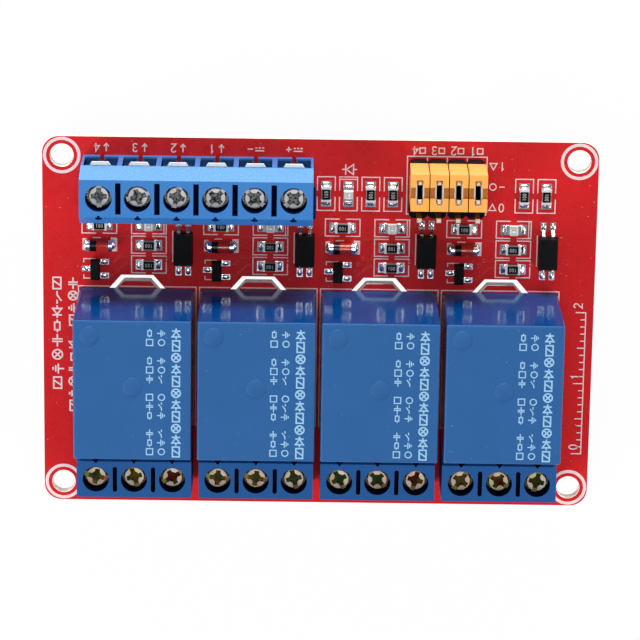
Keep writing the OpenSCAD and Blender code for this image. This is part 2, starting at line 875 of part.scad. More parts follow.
module chip_resistor() {
    block([chip_l - 2 * chip_cap, chip_w], 0, chip_h);
    for (s = [-1, 1])
        translate([s * (chip_l - chip_cap) / 2, 0, 0])
            block([chip_cap, chip_w + chip_step], 0, chip_h + chip_step / 2);
}

module chip_resistors() {
    color("black") {
        at_channels(column_x, first_row) chip_resistor();
        at_channels(column_x, first_row + row_pitch) chip_resistor();
        at_channels(left_column_x, first_row + 2 * row_pitch) chip_resistor();
        for (i = [0, 2, 3]) on_board(supply_x + i * supply_pitch, supply_y) rotate(90) chip_resistor();
        for (i = [0, 1])
            on_board(end_parts_x + i * supply_pitch, supply_y) rotate(90) chip_resistor();
    }
}

module chip_led() {
    block([chip_l, chip_w], 0, led_base_h);
    extrude_y(chip_w)
        polygon([
            [-led_lens / 2, 0], [led_lens / 2, 0], [led_lens / 2, led_base_h],
            [led_lens / 2 - 0.12, led_h], [-led_lens / 2 + 0.12, led_h], [-led_lens / 2, led_base_h]
        ]);
}

module chip_leds() {
    color("honeydew") {
        at_channels(column_x, first_row + 2 * row_pitch) chip_led();
        on_board(supply_x + supply_pitch, supply_y) rotate(90) chip_led();
    }
}

module glass_diode() {
    cap_end = 0.5;
    translate([-diode_l / 2, 0, diode_d / 2])
        rotate([0, 90, 0]) {
            cylinder(d = diode_d - 0.1, h = diode_l);
            cylinder(d = diode_d, h = cap_end);
            translate([0, 0, diode_l - cap_end]) cylinder(d = diode_d, h = cap_end);
        }
}

module glass_diodes() {
    color("indianred") at_channels(left_column_x, first_row + row_pitch) glass_diode();
}

module transistor() {
    lead_w = 0.42;
    knee_z = transistor_h / 2;
    root = transistor_body[0] / 2;
    tip = transistor_span / 2;
    moulded_package(transistor_body, loose, transistor_h);
    rotate(180) gull_lead(root, tip, knee_z, 0.3, lead_w);
    for (s = [-1, 1])
        translate([0, s * transistor_pitch / 2, 0]) gull_lead(root, tip, knee_z, 0.3, lead_w);
}

module transistors() {
    color("black") at_channels(transistor_at[0], transistor_at[1]) transistor();
}

module optocoupler() {
    lead_w = 0.4;
    moulded_package(opto_body, loose, opto_h);
    for (a = [90, 270], s = [-1, 1])
        rotate(a)
            translate([0, s * opto_pitch / 2, 0])
                gull_lead(opto_body[1] / 2, opto_span / 2, opto_h / 2, 0.6, lead_w);
}

module optocouplers() {
    color("black") at_channels(opto_at[0], opto_at[1]) optocoupler();
}

board();
solder_joints();
input_terminal_housing();
input_terminal_contacts();
input_wire_leaves();
input_clamp_screws();
output_terminal_contacts();
output_wire_leaves();
output_clamp_screws();
header_bases();
header_pins();
chip_resistors();
chip_leds();
glass_diodes();
transistors();
optocouplers();
for (c = [1:CHANNELS]) {
    output_terminal_housing(c);
    relay_cover(c);
    relay_base(c);
    relay_pins(c);
    relay_yoke(c);
    relay_bobbin(c);
    relay_winding(c);
    relay_armature(c);
    relay_contact_leaf(c);
    jumper_cap(c);
    jumper_clip(c);
}
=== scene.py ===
"""Looks of a four-channel relay module board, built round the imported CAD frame.

Lengths are metres, except where millimetres are named. The board lies in x and y, parts upwards.
"""

import json
import math

import bmesh
import bpy
from mathutils import Matrix, Vector

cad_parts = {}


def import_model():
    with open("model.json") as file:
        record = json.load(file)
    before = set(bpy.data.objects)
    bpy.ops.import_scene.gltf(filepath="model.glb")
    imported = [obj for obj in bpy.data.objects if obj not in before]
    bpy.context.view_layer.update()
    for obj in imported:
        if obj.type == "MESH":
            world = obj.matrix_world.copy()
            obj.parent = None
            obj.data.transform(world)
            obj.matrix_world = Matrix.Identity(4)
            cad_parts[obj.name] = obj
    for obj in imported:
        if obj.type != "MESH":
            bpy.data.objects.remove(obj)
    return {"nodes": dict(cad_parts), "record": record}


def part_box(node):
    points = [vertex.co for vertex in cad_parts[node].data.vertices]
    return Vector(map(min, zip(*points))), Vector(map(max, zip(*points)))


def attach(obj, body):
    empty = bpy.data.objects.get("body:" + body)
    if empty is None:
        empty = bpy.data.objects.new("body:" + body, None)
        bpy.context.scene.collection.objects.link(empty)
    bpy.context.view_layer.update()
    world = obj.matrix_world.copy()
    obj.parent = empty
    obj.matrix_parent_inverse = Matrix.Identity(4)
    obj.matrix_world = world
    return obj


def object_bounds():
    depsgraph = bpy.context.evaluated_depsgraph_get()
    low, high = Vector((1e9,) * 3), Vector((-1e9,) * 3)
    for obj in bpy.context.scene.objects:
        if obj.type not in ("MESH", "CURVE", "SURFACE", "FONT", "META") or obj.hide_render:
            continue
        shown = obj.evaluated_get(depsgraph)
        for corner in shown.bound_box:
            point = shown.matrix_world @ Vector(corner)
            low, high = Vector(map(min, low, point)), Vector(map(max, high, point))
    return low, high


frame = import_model()
cad_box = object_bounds()

MM = 0.001
CHANNELS = range(1, 5)
BOARD_LOW, BOARD_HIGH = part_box("board")
TOP = BOARD_HIGH.z
UNDER = BOARD_LOW.z
PRINT_T = 0.02 * MM
COPPER_T = 0.035 * MM
# Faces that would coincide stand apart by this much
STEP_T = 0.003 * MM


# Places, read from the CAD nodes


def middle(node):
    low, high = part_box(node)
    return (low + high) / 2


def solids(node):
    """The separate solids of a CAD node as (low corner, high corner), from left to right."""
    mesh = frame["nodes"][node].data
    keys = [tuple(round(c, 7) for c in v.co) for v in mesh.vertices]
    leader = {}

    def find(key):
        while leader.setdefault(key, key) != key:
            key = leader[key]
        return key

    for polygon in mesh.polygons:
        first = find(keys[polygon.vertices[0]])
        for i in polygon.vertices[1:]:
            leader[find(keys[i])] = first
    groups = {}
    for key in set(keys):
        groups.setdefault(find(key), []).append(key)
    boxes = [
        (Vector(map(min, zip(*points))), Vector(map(max, zip(*points))))
        for points in groups.values()
    ]
    return sorted(boxes, key=lambda b: (round(b[0].x, 5), b[0].y))


def long_axis(low, high):
    """0 for a box that is longer in x, or 1 for one that is longer in y."""
    return 0 if high.x - low.x > high.y - low.y else 1


def placed(boxes):
    """Each box's centre, the turn in degrees from x to its longer side, and its top."""
    for low, high in boxes:
        yield (low + high) / 2, 90 * long_axis(low, high), high.z


def in_solid(centre, boxes):
    """The box that holds a point, or None."""
    slack = 0.001 * MM
    for low, high in boxes:
        if all(low[i] - slack <= centre[i] <= high[i] + slack for i in range(3)):
            return low, high
    return None


RESISTORS = solids("chip_resistors")
LEDS = solids("chip_leds")
DIODES = solids("glass_diodes")
TRANSISTORS = solids("transistors")
OPTOS = solids("optocouplers")
RELAYS = [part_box(f"relay_cover_{c}") for c in CHANNELS]


# Outlines


def arc(centre, rx, ry, start, end, steps=10):
    """Part of an ellipse, between two angles in degrees."""
    angles = (math.radians(start + (end - start) * i / steps) for i in range(steps + 1))
    return [(centre[0] + rx * math.cos(a), centre[1] + ry * math.sin(a)) for a in angles]


def ellipse(centre, rx, ry, steps):
    return arc(centre, rx, ry, 0, 360, steps)[:-1]


def circle(centre, radius, steps):
    return ellipse(centre, radius, radius, steps)


def rectangle(half_l, half_w):
    """The corners of a rectangle about the origin."""
    return [(-half_l, -half_w), (half_l, -half_w), (half_l, half_w), (-half_l, half_w)]


def loop(outline):
    """A path that ends where it starts."""
    return outline + outline[:1]


def at(centre, points, scale=MM, turn=0.0):
    """Points about the origin, scaled, turned by an angle in degrees and moved to a centre."""
    c, s = math.cos(math.radians(turn)), math.sin(math.radians(turn))
    return [
        (centre[0] + scale * (x * c - y * s), centre[1] + scale * (x * s + y * c))
        for x, y in points
    ]


def near(centre, x, y, turn=0.0):
    """The place that lies x and y millimetres from a centre."""
    return at(centre, [(x, y)], turn=turn)[0]


# Meshes


class Shape:
    """Gathers the closed parts of one mesh."""

    MITRE_LIMIT = 0.35

    def __init__(self):
        self.verts = []
        self.faces = []
        self.slots = []
        self.smooth = []

    def add(self, verts, faces, slot=0, smooth=False):
        """Adds one part. The slot is its material's number."""
        start = len(self.verts)
        self.verts += [tuple(v) for v in verts]
        self.faces += [[start + i for i in f] for f in faces]
        self.slots += [slot] * len(faces)
        self.smooth += [smooth] * len(faces)

    def loft(self, rings, smooth=False):
        """Closed rings of equally many points, joined in order, with a cap at both ends."""
        n = len(rings[0])
        last = (len(rings) - 1) * n
        faces = [list(range(n))[::-1], list(range(last, last + n))]
        for start in range(0, last, n):
            for i in range(n):
                j = (i + 1) % n
                faces.append([start + i, start + j, start + n + j, start + n + i])
        self.add([p for ring in rings for p in ring], faces, 0, smooth)

    def plate(self, outline, low, high):
        """A flat plate with the given outline, from one height to another."""
        self.loft([[(x, y, z) for x, y in outline] for z in (low, high)])

    def block(self, centre, half, low, high):
        """A plate that reaches half[0] and half[1] millimetres from its centre."""
        self.plate(at(centre, rectangle(*half)), low, high)

    def ribbon(self, path, width, low, high, closed=False, slot=0):
        """A strip of the given width along a path in x and y, with mitred corners."""
        points = [Vector(p) for p in path]
        n = len(points)
        verts = []
        for i, p in enumerate(points):
            ways = []
            if closed or i > 0:
                ways.append((p - points[i - 1]).normalized())
            if closed or i < n - 1:
                ways.append((points[(i + 1) % n] - p).normalized())
            sides = [Vector((-w.y, w.x)) for w in ways]
            side = sum(sides, Vector((0, 0))).normalized()
            reach = width / 2 / max(side.dot(sides[0]), self.MITRE_LIMIT)
            left, right = p + side * reach, p - side * reach
            verts += [(*left, low), (*right, low), (*right, high), (*left, high)]
        faces = []
        for i in range(n if closed else n - 1):
            a, b = 4 * i, 4 * ((i + 1) % n)
            for k in range(4):
                m = (k + 1) % 4
                faces.append([a + k, b + k, b + m, a + m])
        if not closed:
            faces += [[0, 1, 2, 3], [4 * n - 1, 4 * n - 2, 4 * n - 3, 4 * n - 4]]
        self.add(verts, faces, slot)

    def turned(self, profile, centre, steps=32, smooth=True):
        """A solid of revolution about a vertical axis. The profile is (radius, height) pairs."""
        self.loft([[(x, y, z) for x, y in circle(centre, r, steps)] for r, z in profile], smooth)

    def make(self, name, *materials, slot=None):
        """Makes the mesh into a piece that rides on the module."""
        mesh = bpy.data.meshes.new(name)
        mesh.from_pydata(self.verts, [], self.faces)
        mesh.polygons.foreach_set("material_index", self.slots)
        mesh.polygons.foreach_set("use_smooth", self.smooth)
        for m in materials:
            mesh.materials.append(m)
        mesh.validate()
        piece = bpy.data.objects.new(name, mesh)
        bpy.context.scene.collection.objects.link(piece)
        bpy.context.view_layer.update()
        face_outwards(mesh)
        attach(piece, "module")


def face_outwards(mesh):
    work = bmesh.new()
    work.from_mesh(mesh)
    bmesh.ops.recalc_face_normals(work, faces=work.faces)
    work.to_mesh(mesh)
    work.free()


# Materials


class Nodes:
    """The node tree of a material or world, emptied and built up again."""

    def __init__(self, owner):
        owner.use_nodes = True
        self.tree = owner.node_tree
        self.tree.nodes.clear()

    def node(self, kind, **settings):
        made = self.tree.nodes.new(kind)
        for key, value in settings.items():
            setattr(made, key, value)
        return made

    def link(self, a, b):
        self.tree.links.new(a, b)

    def feed(self, socket, value):
        """Gives a socket a value, which is a number, a colour or another socket."""
        if isinstance(value, bpy.types.NodeSocket):
            self.link(value, socket)
        else:
            socket.default_value = value

    def maths(self, operation, *values):
        m = self.node("ShaderNodeMath", operation=operation)
        for socket, value in zip(m.inputs, values):
            self.feed(socket, value)
        return m.outputs[0]

    def ramp(self, value, low, high, a, b, **settings):
        """Maps low..high of a value to a..b."""
        m = self.node("ShaderNodeMapRange", **settings)
        for key, number in zip(("From Min", "From Max", "To Min", "To Max"), (low, high, a, b)):
            m.inputs[key].default_value = number
        self.link(value, m.inputs["Value"])
        return m.outputs["Result"]


class Look(Nodes):
    """A material. Numbers that are the same all over are set on the shader itself."""

    NOISE_SPAN = (0.3, 0.7)

    def __init__(self, name, roughness, specular=0.5, metallic=0.0):
        self.material = bpy.data.materials.new(name)
        super().__init__(self.material)
        shader = self.node("ShaderNodeBsdfPrincipled")
        self.link(shader.outputs[0], self.node("ShaderNodeOutputMaterial").inputs["Surface"])
        self.place = self.node("ShaderNodeTexCoord").outputs["Object"]
        self.sockets = shader.inputs
        self.sockets["Roughness"].default_value = roughness
        self.sockets["Specular IOR Level"].default_value = specular
        self.sockets["Metallic"].default_value = metallic

    def noise(self, size, detail=3.0, rough=0.55, stretch=(1, 1, 1)):
        """Soft noise whose features are about size metres across."""
        mapping = self.node("ShaderNodeMapping")
        mapping.inputs["Scale"].default_value = stretch
        self.link(self.place, mapping.inputs["Vector"])
        n = self.node("ShaderNodeTexNoise")
        n.inputs["Scale"].default_value = 1 / size
        n.inputs["Detail"].default_value = detail
        n.inputs["Roughness"].default_value = rough
        self.link(mapping.outputs[0], n.inputs["Vector"])
        return n.outputs["Fac"]

    def waves_in_z(self, pitch):
        """A sine wave up the object, from -1 to 1."""
        split = self.node("ShaderNodeSeparateXYZ")
        self.link(self.place, split.inputs[0])
        return self.maths("SINE", self.maths("MULTIPLY", split.outputs[2], 2 * math.pi / pitch))

    def mix(self, amount, a, b):
        """A colour between a and b, which are colours or sockets."""
        m = self.node("ShaderNodeMix", data_type="RGBA")
        self.link(amount, m.inputs["Factor"])
        self.feed(m.inputs[6], a)
        self.feed(m.inputs[7], b)
        return m.outputs[2]

    def cloudy(self, noise, colour, spread):
        """A colour that is up to spread darker or lighter where the noise says."""
        return self.mix(noise, shaded(colour, 1 - spread), shaded(colour, 1 + spread))

    def colour(self, socket):
        self.link(socket, self.sockets["Base Color"])

    def rough(self, noise, low, high):
        self.link(self.ramp(noise, *self.NOISE_SPAN, low, high), self.sockets["Roughness"])

    def bump(self, height, strength, distance):
        b = self.node("ShaderNodeBump")
        b.inputs["Strength"].default_value = strength
        b.inputs["Distance"].default_value = distance
        self.link(height, b.inputs["Height"])
        self.link(b.outputs["Normal"], self.sockets["Normal"])

    def surface(self, noise, low, high, strength, distance=0.02 * MM):
        """Gives gloss and relief the same noise, and returns the material."""
        self.rough(noise, low, high)
        self.bump(noise, strength, distance)
        return self.material


def srgb(r, g, b):
    """A colour as it shows on a screen, 0 to 255, in the linear values that a shader takes."""
    linear = (
        c / 255 / 12.92 if c <= 10 else ((c / 255 + 0.055) / 1.055) ** 2.4 for c in (r, g, b)
    )
    return (*linear, 1)


def shaded(colour, factor):
    return (*(min(c * factor, 1) for c in colour[:3]), 1)


def plastic(name, colour, roughness, spread=0.08, grain=0.25 * MM, bump=0.15, specular=0.25):
    """Moulded plastic: slight cloudiness, uneven gloss and a fine skin."""
    look = Look(name, roughness, specular)
    look.colour(look.cloudy(look.noise(3.5 * MM, 2), srgb(*colour), spread))
    skin = look.noise(grain, 4, 0.65)
    return look.surface(skin, roughness - 0.06, roughness + 0.08, bump)


def metal(name, colour, roughness, spread=0.12, grain=0.2 * MM, bump=0.25, metallic=1.0,
          specular=0.5):
    """Plated or bare metal with slight stains and a fine rolled or pickled skin."""
    look = Look(name, roughness, specular, metallic)
    look.colour(look.cloudy(look.noise(0.9 * MM, 4), srgb(*colour), spread))
    skin = look.noise(grain, 5, 0.7)
    return look.surface(skin, max(roughness - 0.07, 0.04), roughness + 0.1, bump)


def solder_mask():
    """Glossy red lacquer: broad unevenness, fine dark specks and sparse pale dust."""
    look = Look("mask_red", 0.3, specular=0.2)
    red = srgb(212, 33, 37)
    base = look.mix(look.noise(14 * MM, 2), shaded(red, 0.9), shaded(red, 1.08))
    speck = look.ramp(look.noise(0.22 * MM, 2, 0.5), 0.3, 0.42, 0.35, 0)
    base = look.mix(speck, base, shaded(red, 0.55))
    dust = look.ramp(look.noise(0.3 * MM, 1, 0.3, (1, 1.2, 1)), 0.78, 0.81, 0, 0.5)
    look.colour(look.mix(dust, base, srgb(244, 190, 190)))
    return look.surface(look.noise(1.1 * MM, 3), 0.24, 0.38, 0.2)


def mask_over_copper():
    """The same lacquer where it runs over copper, a little lighter and smoother."""
    look = Look("mask_over_copper", 0.26, specular=0.3)
    look.colour(look.cloudy(look.noise(6 * MM, 2), srgb(206, 44, 42), 0.08))
    return look.surface(look.noise(0.9 * MM, 3), 0.2, 0.34, 0.15)


def glass_cloth(name, dark, pale):
    """The board's sawn edge: thin pale layers of glass and resin with a fibrous face."""
    look = Look(name, 0.6, specular=0.3)
    layers = look.waves_in_z(0.2 * MM)
    fibres = look.noise(0.12 * MM, 4, 0.7, (1, 1, 6))
    blend = look.maths("ADD", look.maths("MULTIPLY", layers, 0.18), fibres)
    look.colour(look.mix(look.ramp(blend, 0.25, 0.8, 0, 1), srgb(*dark), srgb(*pale)))
    return look.surface(fibres, 0.5, 0.75, 0.4, 0.03 * MM)


def ink(name, colour):
    """Screen-printed ink: thin, matt and slightly broken where the ground shows through."""
    look = Look(name, 0.55)
    thin = look.noise(0.35 * MM, 4, 0.7)
    colour = srgb(*colour)
    cover = look.ramp(thin, 0.3, 0.75, 0, 1)
    look.colour(look.mix(cover, shaded(colour, 0.82), shaded(colour, 1.05)))
    return look.surface(thin, 0.45, 0.7, 0.3)


def relay_plastic(name, blue, roughness, specular, dust_share):
    """A moulded cover with specks of dust: satin on its top, polished on its sides."""
    look = Look(name, roughness, specular)
    base = look.cloudy(look.noise(5 * MM, 2), srgb(*blue), 0.06)
    dust = look.ramp(look.noise(0.32 * MM, 2, 0.4), 0.74, 0.79, 0, dust_share)
    look.colour(look.mix(dust, base, srgb(150, 180, 220)))
    skin = look.noise(0.3 * MM, 4, 0.65)
    return look.surface(skin, roughness - 0.04, roughness + 0.08, 0.12)


def mottled_metal(name, dark, pale):
    """Bare metal in a pressed recess, darker than the lands as painted shade, with random pale
    patches as painted glints of its facets and marks.
    """
    look = Look(name, 0.3, metallic=1.0)
    facets = look.noise(0.28 * MM, 3, 0.6)
    look.colour(look.mix(look.ramp(facets, 0.38, 0.66, 0, 1), srgb(*dark), srgb(*pale)))
    return look.surface(facets, 0.24, 0.42, 0.6, 0.04 * MM)


def colour_film(name, stops, size, metallic):
    """Metal under a thin film whose colour drifts. Stops are (position, colour)."""
    look = Look(name, 0.3, metallic=metallic)
    film = look.node("ShaderNodeValToRGB")
    elements = film.color_ramp.elements
    while len(elements) < len(stops):
        elements.new(0.5)
    for element, (position, colour) in zip(elements, stops):
        element.position = position
        element.color = srgb(*colour)
    look.link(look.noise(size, 2, 0.6), film.inputs[0])
    fine = look.ramp(look.noise(0.3 * MM, 4), 0.35, 0.75, 0, 0.35)
    look.colour(look.mix(fine, film.outputs[0], srgb(*stops[0][1])))
    return look.surface(look.noise(0.18 * MM, 5, 0.7), 0.24, 0.4, 0.25)


def winding_copper():
    """Enamelled wire: a turn every tenth of a millimetre, painted darker in the groove between
    turns as shade.
    """
    look = Look("winding_copper", 0.28, metallic=1.0)
    turns = look.waves_in_z(0.1 * MM)
    # Dark in the grooves and light on the crowns of the turns: painted shade
    look.colour(look.mix(look.ramp(turns, -1, 1, 0, 1), srgb(120, 58, 24), srgb(206, 118, 62)))
    look.rough(look.noise(0.3 * MM), 0.22, 0.4)
    look.bump(turns, 0.5, 0.03 * MM)
    return look.material


MASK = solder_mask()
COPPER_MASK = mask_over_copper()
EDGE = glass_cloth("board_edge", (226, 206, 190), (250, 240, 230))
# A near-white copy of the board's edge for the slot walls: painted light
SLOT_EDGE = glass_cloth("slot_edge_painted_light", (250, 246, 242), (255, 255, 253))
SILK = ink("silk_white", (250, 220, 220))
RELAY_INK = ink("relay_ink", (150, 196, 228))
MARK_INK = ink("mark_ink", (186, 186, 182))
TERMINAL = plastic("terminal_blue", (40, 117, 190), 0.34, 0.04, specular=0.8)
# A paler copy of the inputs' blue for the faces that slope towards +y: painted light
TERMINAL_SLOPE = plastic(
    "terminal_blue_slope_painted_light", (70, 142, 204), 0.26, 0.02, bump=0.02, specular=1.0)
# A dark copy of the inputs' blue for their wells, slots and rooms: painted shade
TERMINAL_DEEP = plastic("terminal_blue_painted_well_shade", (12, 27, 72), 0.5, 0.1, specular=0.0)
# The outputs' housings are a darker copy of the inputs' blue: painted shade from the relays beside
# them
OUTPUT_TERMINAL = plastic("terminal_blue_output_painted_shade", (29, 85, 147), 0.4, 0.04)
# A dark copy of the outputs' blue for their wells, slots and rooms: painted shade
OUTPUT_DEEP = plastic("terminal_blue_output_painted_well_shade", (11, 24, 54), 0.5, 0.1, specular=0.0)
RELAY = relay_plastic("relay_plastic", (38, 90, 147), 0.48, 0.22, 0.3)
# The sides are polished, and their blue is darker than the top's as painted shade
RELAY_SIDE = relay_plastic("relay_plastic_side_painted_shade", (0, 60, 120), 0.1, 0.08, 0.4)
RELAY_BASE = plastic("relay_base_plastic", (28, 52, 96), 0.5)
BOBBIN = plastic("bobbin_plastic", (232, 230, 222), 0.5, 0.04)
WINDING = winding_copper()
IRON = metal("soft_iron", (170, 172, 178), 0.32)
BRONZE = metal("contact_bronze", (214, 170, 112), 0.3)
TINNED = metal("tinned_brass", (222, 222, 218), 0.24)
SOLDER = metal("solder_bright", (240, 241, 243), 0.2, 0.05, 0.35 * MM, 0.5)
LEAF = metal("leaf_steel", (255, 255, 255), 0.35, 0.02, metallic=0.2)
# A near-black copy of the leaf metal for where it lies in the well: painted shade
LEAF_DULL = metal("leaf_painted_shade", (30, 34, 44), 0.6, 0.3, metallic=0.2)
NICKEL = metal("screw_nickel", (255, 255, 255), 0.34, 0.02, 0.3 * MM, 0.9, metallic=0.1)
# The nickel screws' recess: a darker, mottled copy of the metal as painted shade
NICKEL_DEEP = mottled_metal("screw_nickel_painted_recess_shade", (34, 38, 42), (176, 180, 182))
# The head's side and rim down in the well: near black as painted shade
NICKEL_SIDE = metal("screw_nickel_painted_rim_shade", (7, 10, 20), 0.6, 0.3, metallic=0.0, specular=0.02)
ZINC = colour_film(
    "screw_yellow_zinc",
    ((0.32, (255, 236, 190)), (0.42, (255, 252, 240)),
     (0.52, (255, 214, 190)), (0.62, (224, 240, 180))),
    5.0 * MM, 0.1)
# The zinc screws' recess: the film's drifting colour, darkened as painted shade
ZINC_DEEP = colour_film(
    "screw_yellow_zinc_painted_recess_shade",
    ((0.32, (96, 74, 24)), (0.44, (40, 84, 48)), (0.54, (124, 108, 40)), (0.64, (104, 26, 30))),
    4.2 * MM, 0.8)
ZINC_END = colour_film(
    "screw_yellow_zinc_end",
    ((0.36, (214, 178, 84)), (0.48, (176, 206, 120)), (0.60, (206, 140, 120))),
    3.0 * MM, 0.7)
# The head's side and rim down in the well: near black as painted shade
ZINC_SIDE = metal("screw_zinc_painted_rim_shade", (7, 9, 14), 0.6, 0.3, metallic=0.0, specular=0.02)
# A dark copy of the pin metal for the sides: painted shade and painted reflection of the caps
PIN_GOLD = metal("pin_metal", (120, 96, 60), 0.3)
PIN_TIP = metal("pin_tip", (246, 238, 216), 0.34, 0.06, metallic=0.6)
CLIP = metal("clip_steel", (250, 250, 246), 0.3, 0.04, metallic=0.4)
HEADER = plastic("header_plastic", (14, 17, 20), 0.42, 0.15, specular=0.03)
CAP = plastic("cap_plastic", (246, 172, 78), 0.34, 0.04, specular=0.6)
# A darker copy of the cap's orange for its groove: painted shade
CAP_GROOVE = plastic("cap_plastic_groove_shade", (178, 104, 34), 0.4, 0.1)
COAT = plastic("chip_ceramic", (10, 10, 12), 0.4, 0.2, specular=0.1)
ALUMINA = plastic("chip_substrate", (132, 132, 134), 0.5, 0.1, specular=0.1)
CHIP_END = metal("chip_end", (240, 240, 238), 0.3, 0.08, metallic=0.35)
EPOXY = plastic("package_black", (10, 12, 13), 0.5, 0.2, 0.12 * MM, 0.35, specular=0.12)
LED_BODY = plastic("led_body", (236, 236, 232), 0.4, 0.06)
LED_LENS = plastic("led_resin", (206, 206, 202), 0.15, 0.25, 0.4 * MM, 0.1, specular=0.5)
LED_CUP = plastic("led_cup", (250, 250, 246), 0.4, 0.05)
GLASS = plastic("diode_glass", (178, 40, 26), 0.08, 0.3, 0.8 * MM, 0.05, specular=0.5)
BAND = plastic("diode_band", (14, 12, 14), 0.2, 0.2)


# CAD nodes


def dress(node, *materials, pick=lambda centre, normal: 0):
    """Gives a CAD node its materials. pick(centre, normal) says which one a face takes."""
    mesh = frame["nodes"][node].data
    mesh.materials.clear()
    for m in materials:
        mesh.materials.append(m)
    slots = [pick(p.center, p.normal) for p in mesh.polygons]
    mesh.polygons.foreach_set("material_index", slots)


def soften(node, width):
    """Rounds a CAD node's sharp edges with modifiers, which leave its own vertices alone."""
    thing = frame["nodes"][node]
    weld = thing.modifiers.new("weld", "WELD")
    weld.merge_threshold = 0.001 * MM
    bevel = thing.modifiers.new("bevel", "BEVEL")
    bevel.width = width
    bevel.segments = 2
    bevel.limit_method = "ANGLE"
    bevel.angle_limit = math.radians(35)


def dress_chips(node, body, top, end):
    """A chip's ends are metal, its top is coated and the rest is its substrate."""
    boxes = solids(node)
    cap_length = 0.34 * MM

    def pick(centre, normal):
        low, high = in_solid(centre, boxes)
        along = long_axis(low, high)
        if min(centre[along] - low[along], high[along] - centre[along]) < cap_length:
            return 2
        return 1 if normal.z > 0.5 else 0

    dress(node, body, top, end, pick=pick)


def dress_package(node, length, width):
    """A moulded package is black, and everything outside its body is a tinned lead."""
    boxes = solids(node)
    half = (length / 2 + 0.01 * MM, width / 2 + 0.01 * MM)

    def pick(centre, normal):
        low, high = in_solid(centre, boxes)
        mid = (low + high) / 2
        return 0 if all(abs(centre[i] - mid[i]) <= half[i] for i in (0, 1)) else 1

    dress(node, EPOXY, TINNED, pick=pick)


def dress_board():
    """Lacquer on both faces, glass cloth on the sawn edge, and in the slots a near-white copy of
    it as painted light.
    """
    half_l, half_w = BOARD_HIGH.x - 0.01 * MM, BOARD_HIGH.y - 0.01 * MM
    corner = 3 * MM

    def pick(centre, normal):
        if abs(normal.z) > 0.5:
            return 0
        x, y = abs(centre.x), abs(centre.y)
        outside = x > half_l or y > half_w or (x > half_l - corner and y > half_w - corner)
        return 1 if outside else 2

    dress("board", MASK, EDGE, SLOT_EDGE, pick=pick)


def dress_housing(node, outer, deep, slope):
    """The housing's outer faces, its wells, slots, rooms and vents in a dark copy of the blue as
    painted shade, and its faces that slope up towards +y in the given slope material.
    """
    low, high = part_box(node)
    edge, side_edge = 0.02 * MM, 0.5 * MM
    sill = TOP + 1.2 * MM

    def pick(centre, normal):
        if abs(normal.z) > 0.9:
            return 0 if centre.z > high.z - edge or centre.z < sill else 1
        if abs(normal.y) > 0.9 and abs(normal.z) < 0.1:
            at_end = centre.y > high.y - edge or centre.y < low.y + edge
            return 0 if at_end or centre.z < sill else 1
        if abs(normal.x) > 0.9:
            return 0 if centre.x > high.x - side_edge or centre.x < low.x + edge else 1
        if abs(normal.y) > 0.5 and normal.z > 0.1:
            return 2 if normal.y > 0 else 0
        return 1

    dress(node, outer, deep, slope, pick=pick)


def dress_screws(node, land, deep, end, side):
    """Bright lands and slot ends, with painted shade: a darker recess between them and a
    near-black rim and side.
    """
    boxes = solids(node)
    land_depth, bevel_depth, end_depth, head_depth = 0.05 * MM, 0.16 * MM, 0.4 * MM, 1.25 * MM
    end_r, rim_r = 1.05 * MM, 1.3 * MM

    def pick(centre, normal):
        low, high = in_solid(centre, boxes)
        radius = (centre.xy - (low + high).xy / 2).length
        below = high.z - centre.z
        if normal.z > 0.9 and below < land_depth:
            return 0
        if normal.z > 0.9 and below < end_depth and radius > end_r:
            return 2
        if radius > rim_r or below > head_depth:
            return 3
        if below < bevel_depth and 0.3 < normal.z < 0.9:
            return 0
        return 1

    dress(node, land, deep, end, side, pick=pick)


def dress_leaves(node, tip):
    """A leaf's tongue is bright where it looks out of its entry; round the screw it is painted
    near black as shade.
    """
    tongue = 1.6 * MM
    dress(node, LEAF, LEAF_DULL, pick=lambda centre, _: 0 if abs(centre.y - tip) < tongue else 1)


def dress_diodes():
    """The metal caps at both ends, and the glass between them."""
    cap_length = 0.52 * MM

    def pick(centre, normal):
        low, high = in_solid(centre, DIODES)
        return 1 if min(centre.x - low.x, high.x - centre.x) < cap_length else 0

    dress("glass_diodes", GLASS, SOLDER, pick=pick)


def dress_cap(node):
    """A jumper cap, its groove painted a darker orange as shade."""
    low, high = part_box(node)
    mid = (low.y + high.y) / 2
    half_groove, depth, skin = 0.74 * MM, 0.34 * MM, 0.01 * MM

    def pick(centre, normal):
        in_groove = high.z - depth < centre.z < high.z - skin
        return 1 if in_groove and abs(centre.y - mid) < half_groove else 0

    dress(node, CAP, CAP_GROOVE, pick=pick)


def dress_pins():
    """Bright tips and flat ends, and the sides painted a dark brass as shade and as a reflection
    of the caps.
    """
    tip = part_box("header_pins")[1].z - 0.4 * MM
    dress("header_pins", PIN_TIP, PIN_GOLD, pick=lambda centre, _: 0 if centre.z > tip else 1)


def dress_terminals():
    dress_housing("input_terminal_housing", TERMINAL, TERMINAL_DEEP, TERMINAL_SLOPE)
    dress("input_terminal_contacts", TINNED)
    dress_leaves("input_wire_leaves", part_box("input_wire_leaves")[1].y)
    dress_screws("input_clamp_screws", NICKEL, NICKEL_DEEP, NICKEL, NICKEL_SIDE)
    for c in CHANNELS:
        dress_housing(
            f"output_terminal_housing_{c}", OUTPUT_TERMINAL, OUTPUT_DEEP, OUTPUT_TERMINAL)
    dress("output_terminal_contacts", TINNED)
    dress_leaves("output_wire_leaves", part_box("output_wire_leaves")[0].y)
    dress_screws("output_clamp_screws", ZINC, ZINC_DEEP, ZINC_END, ZINC_SIDE)


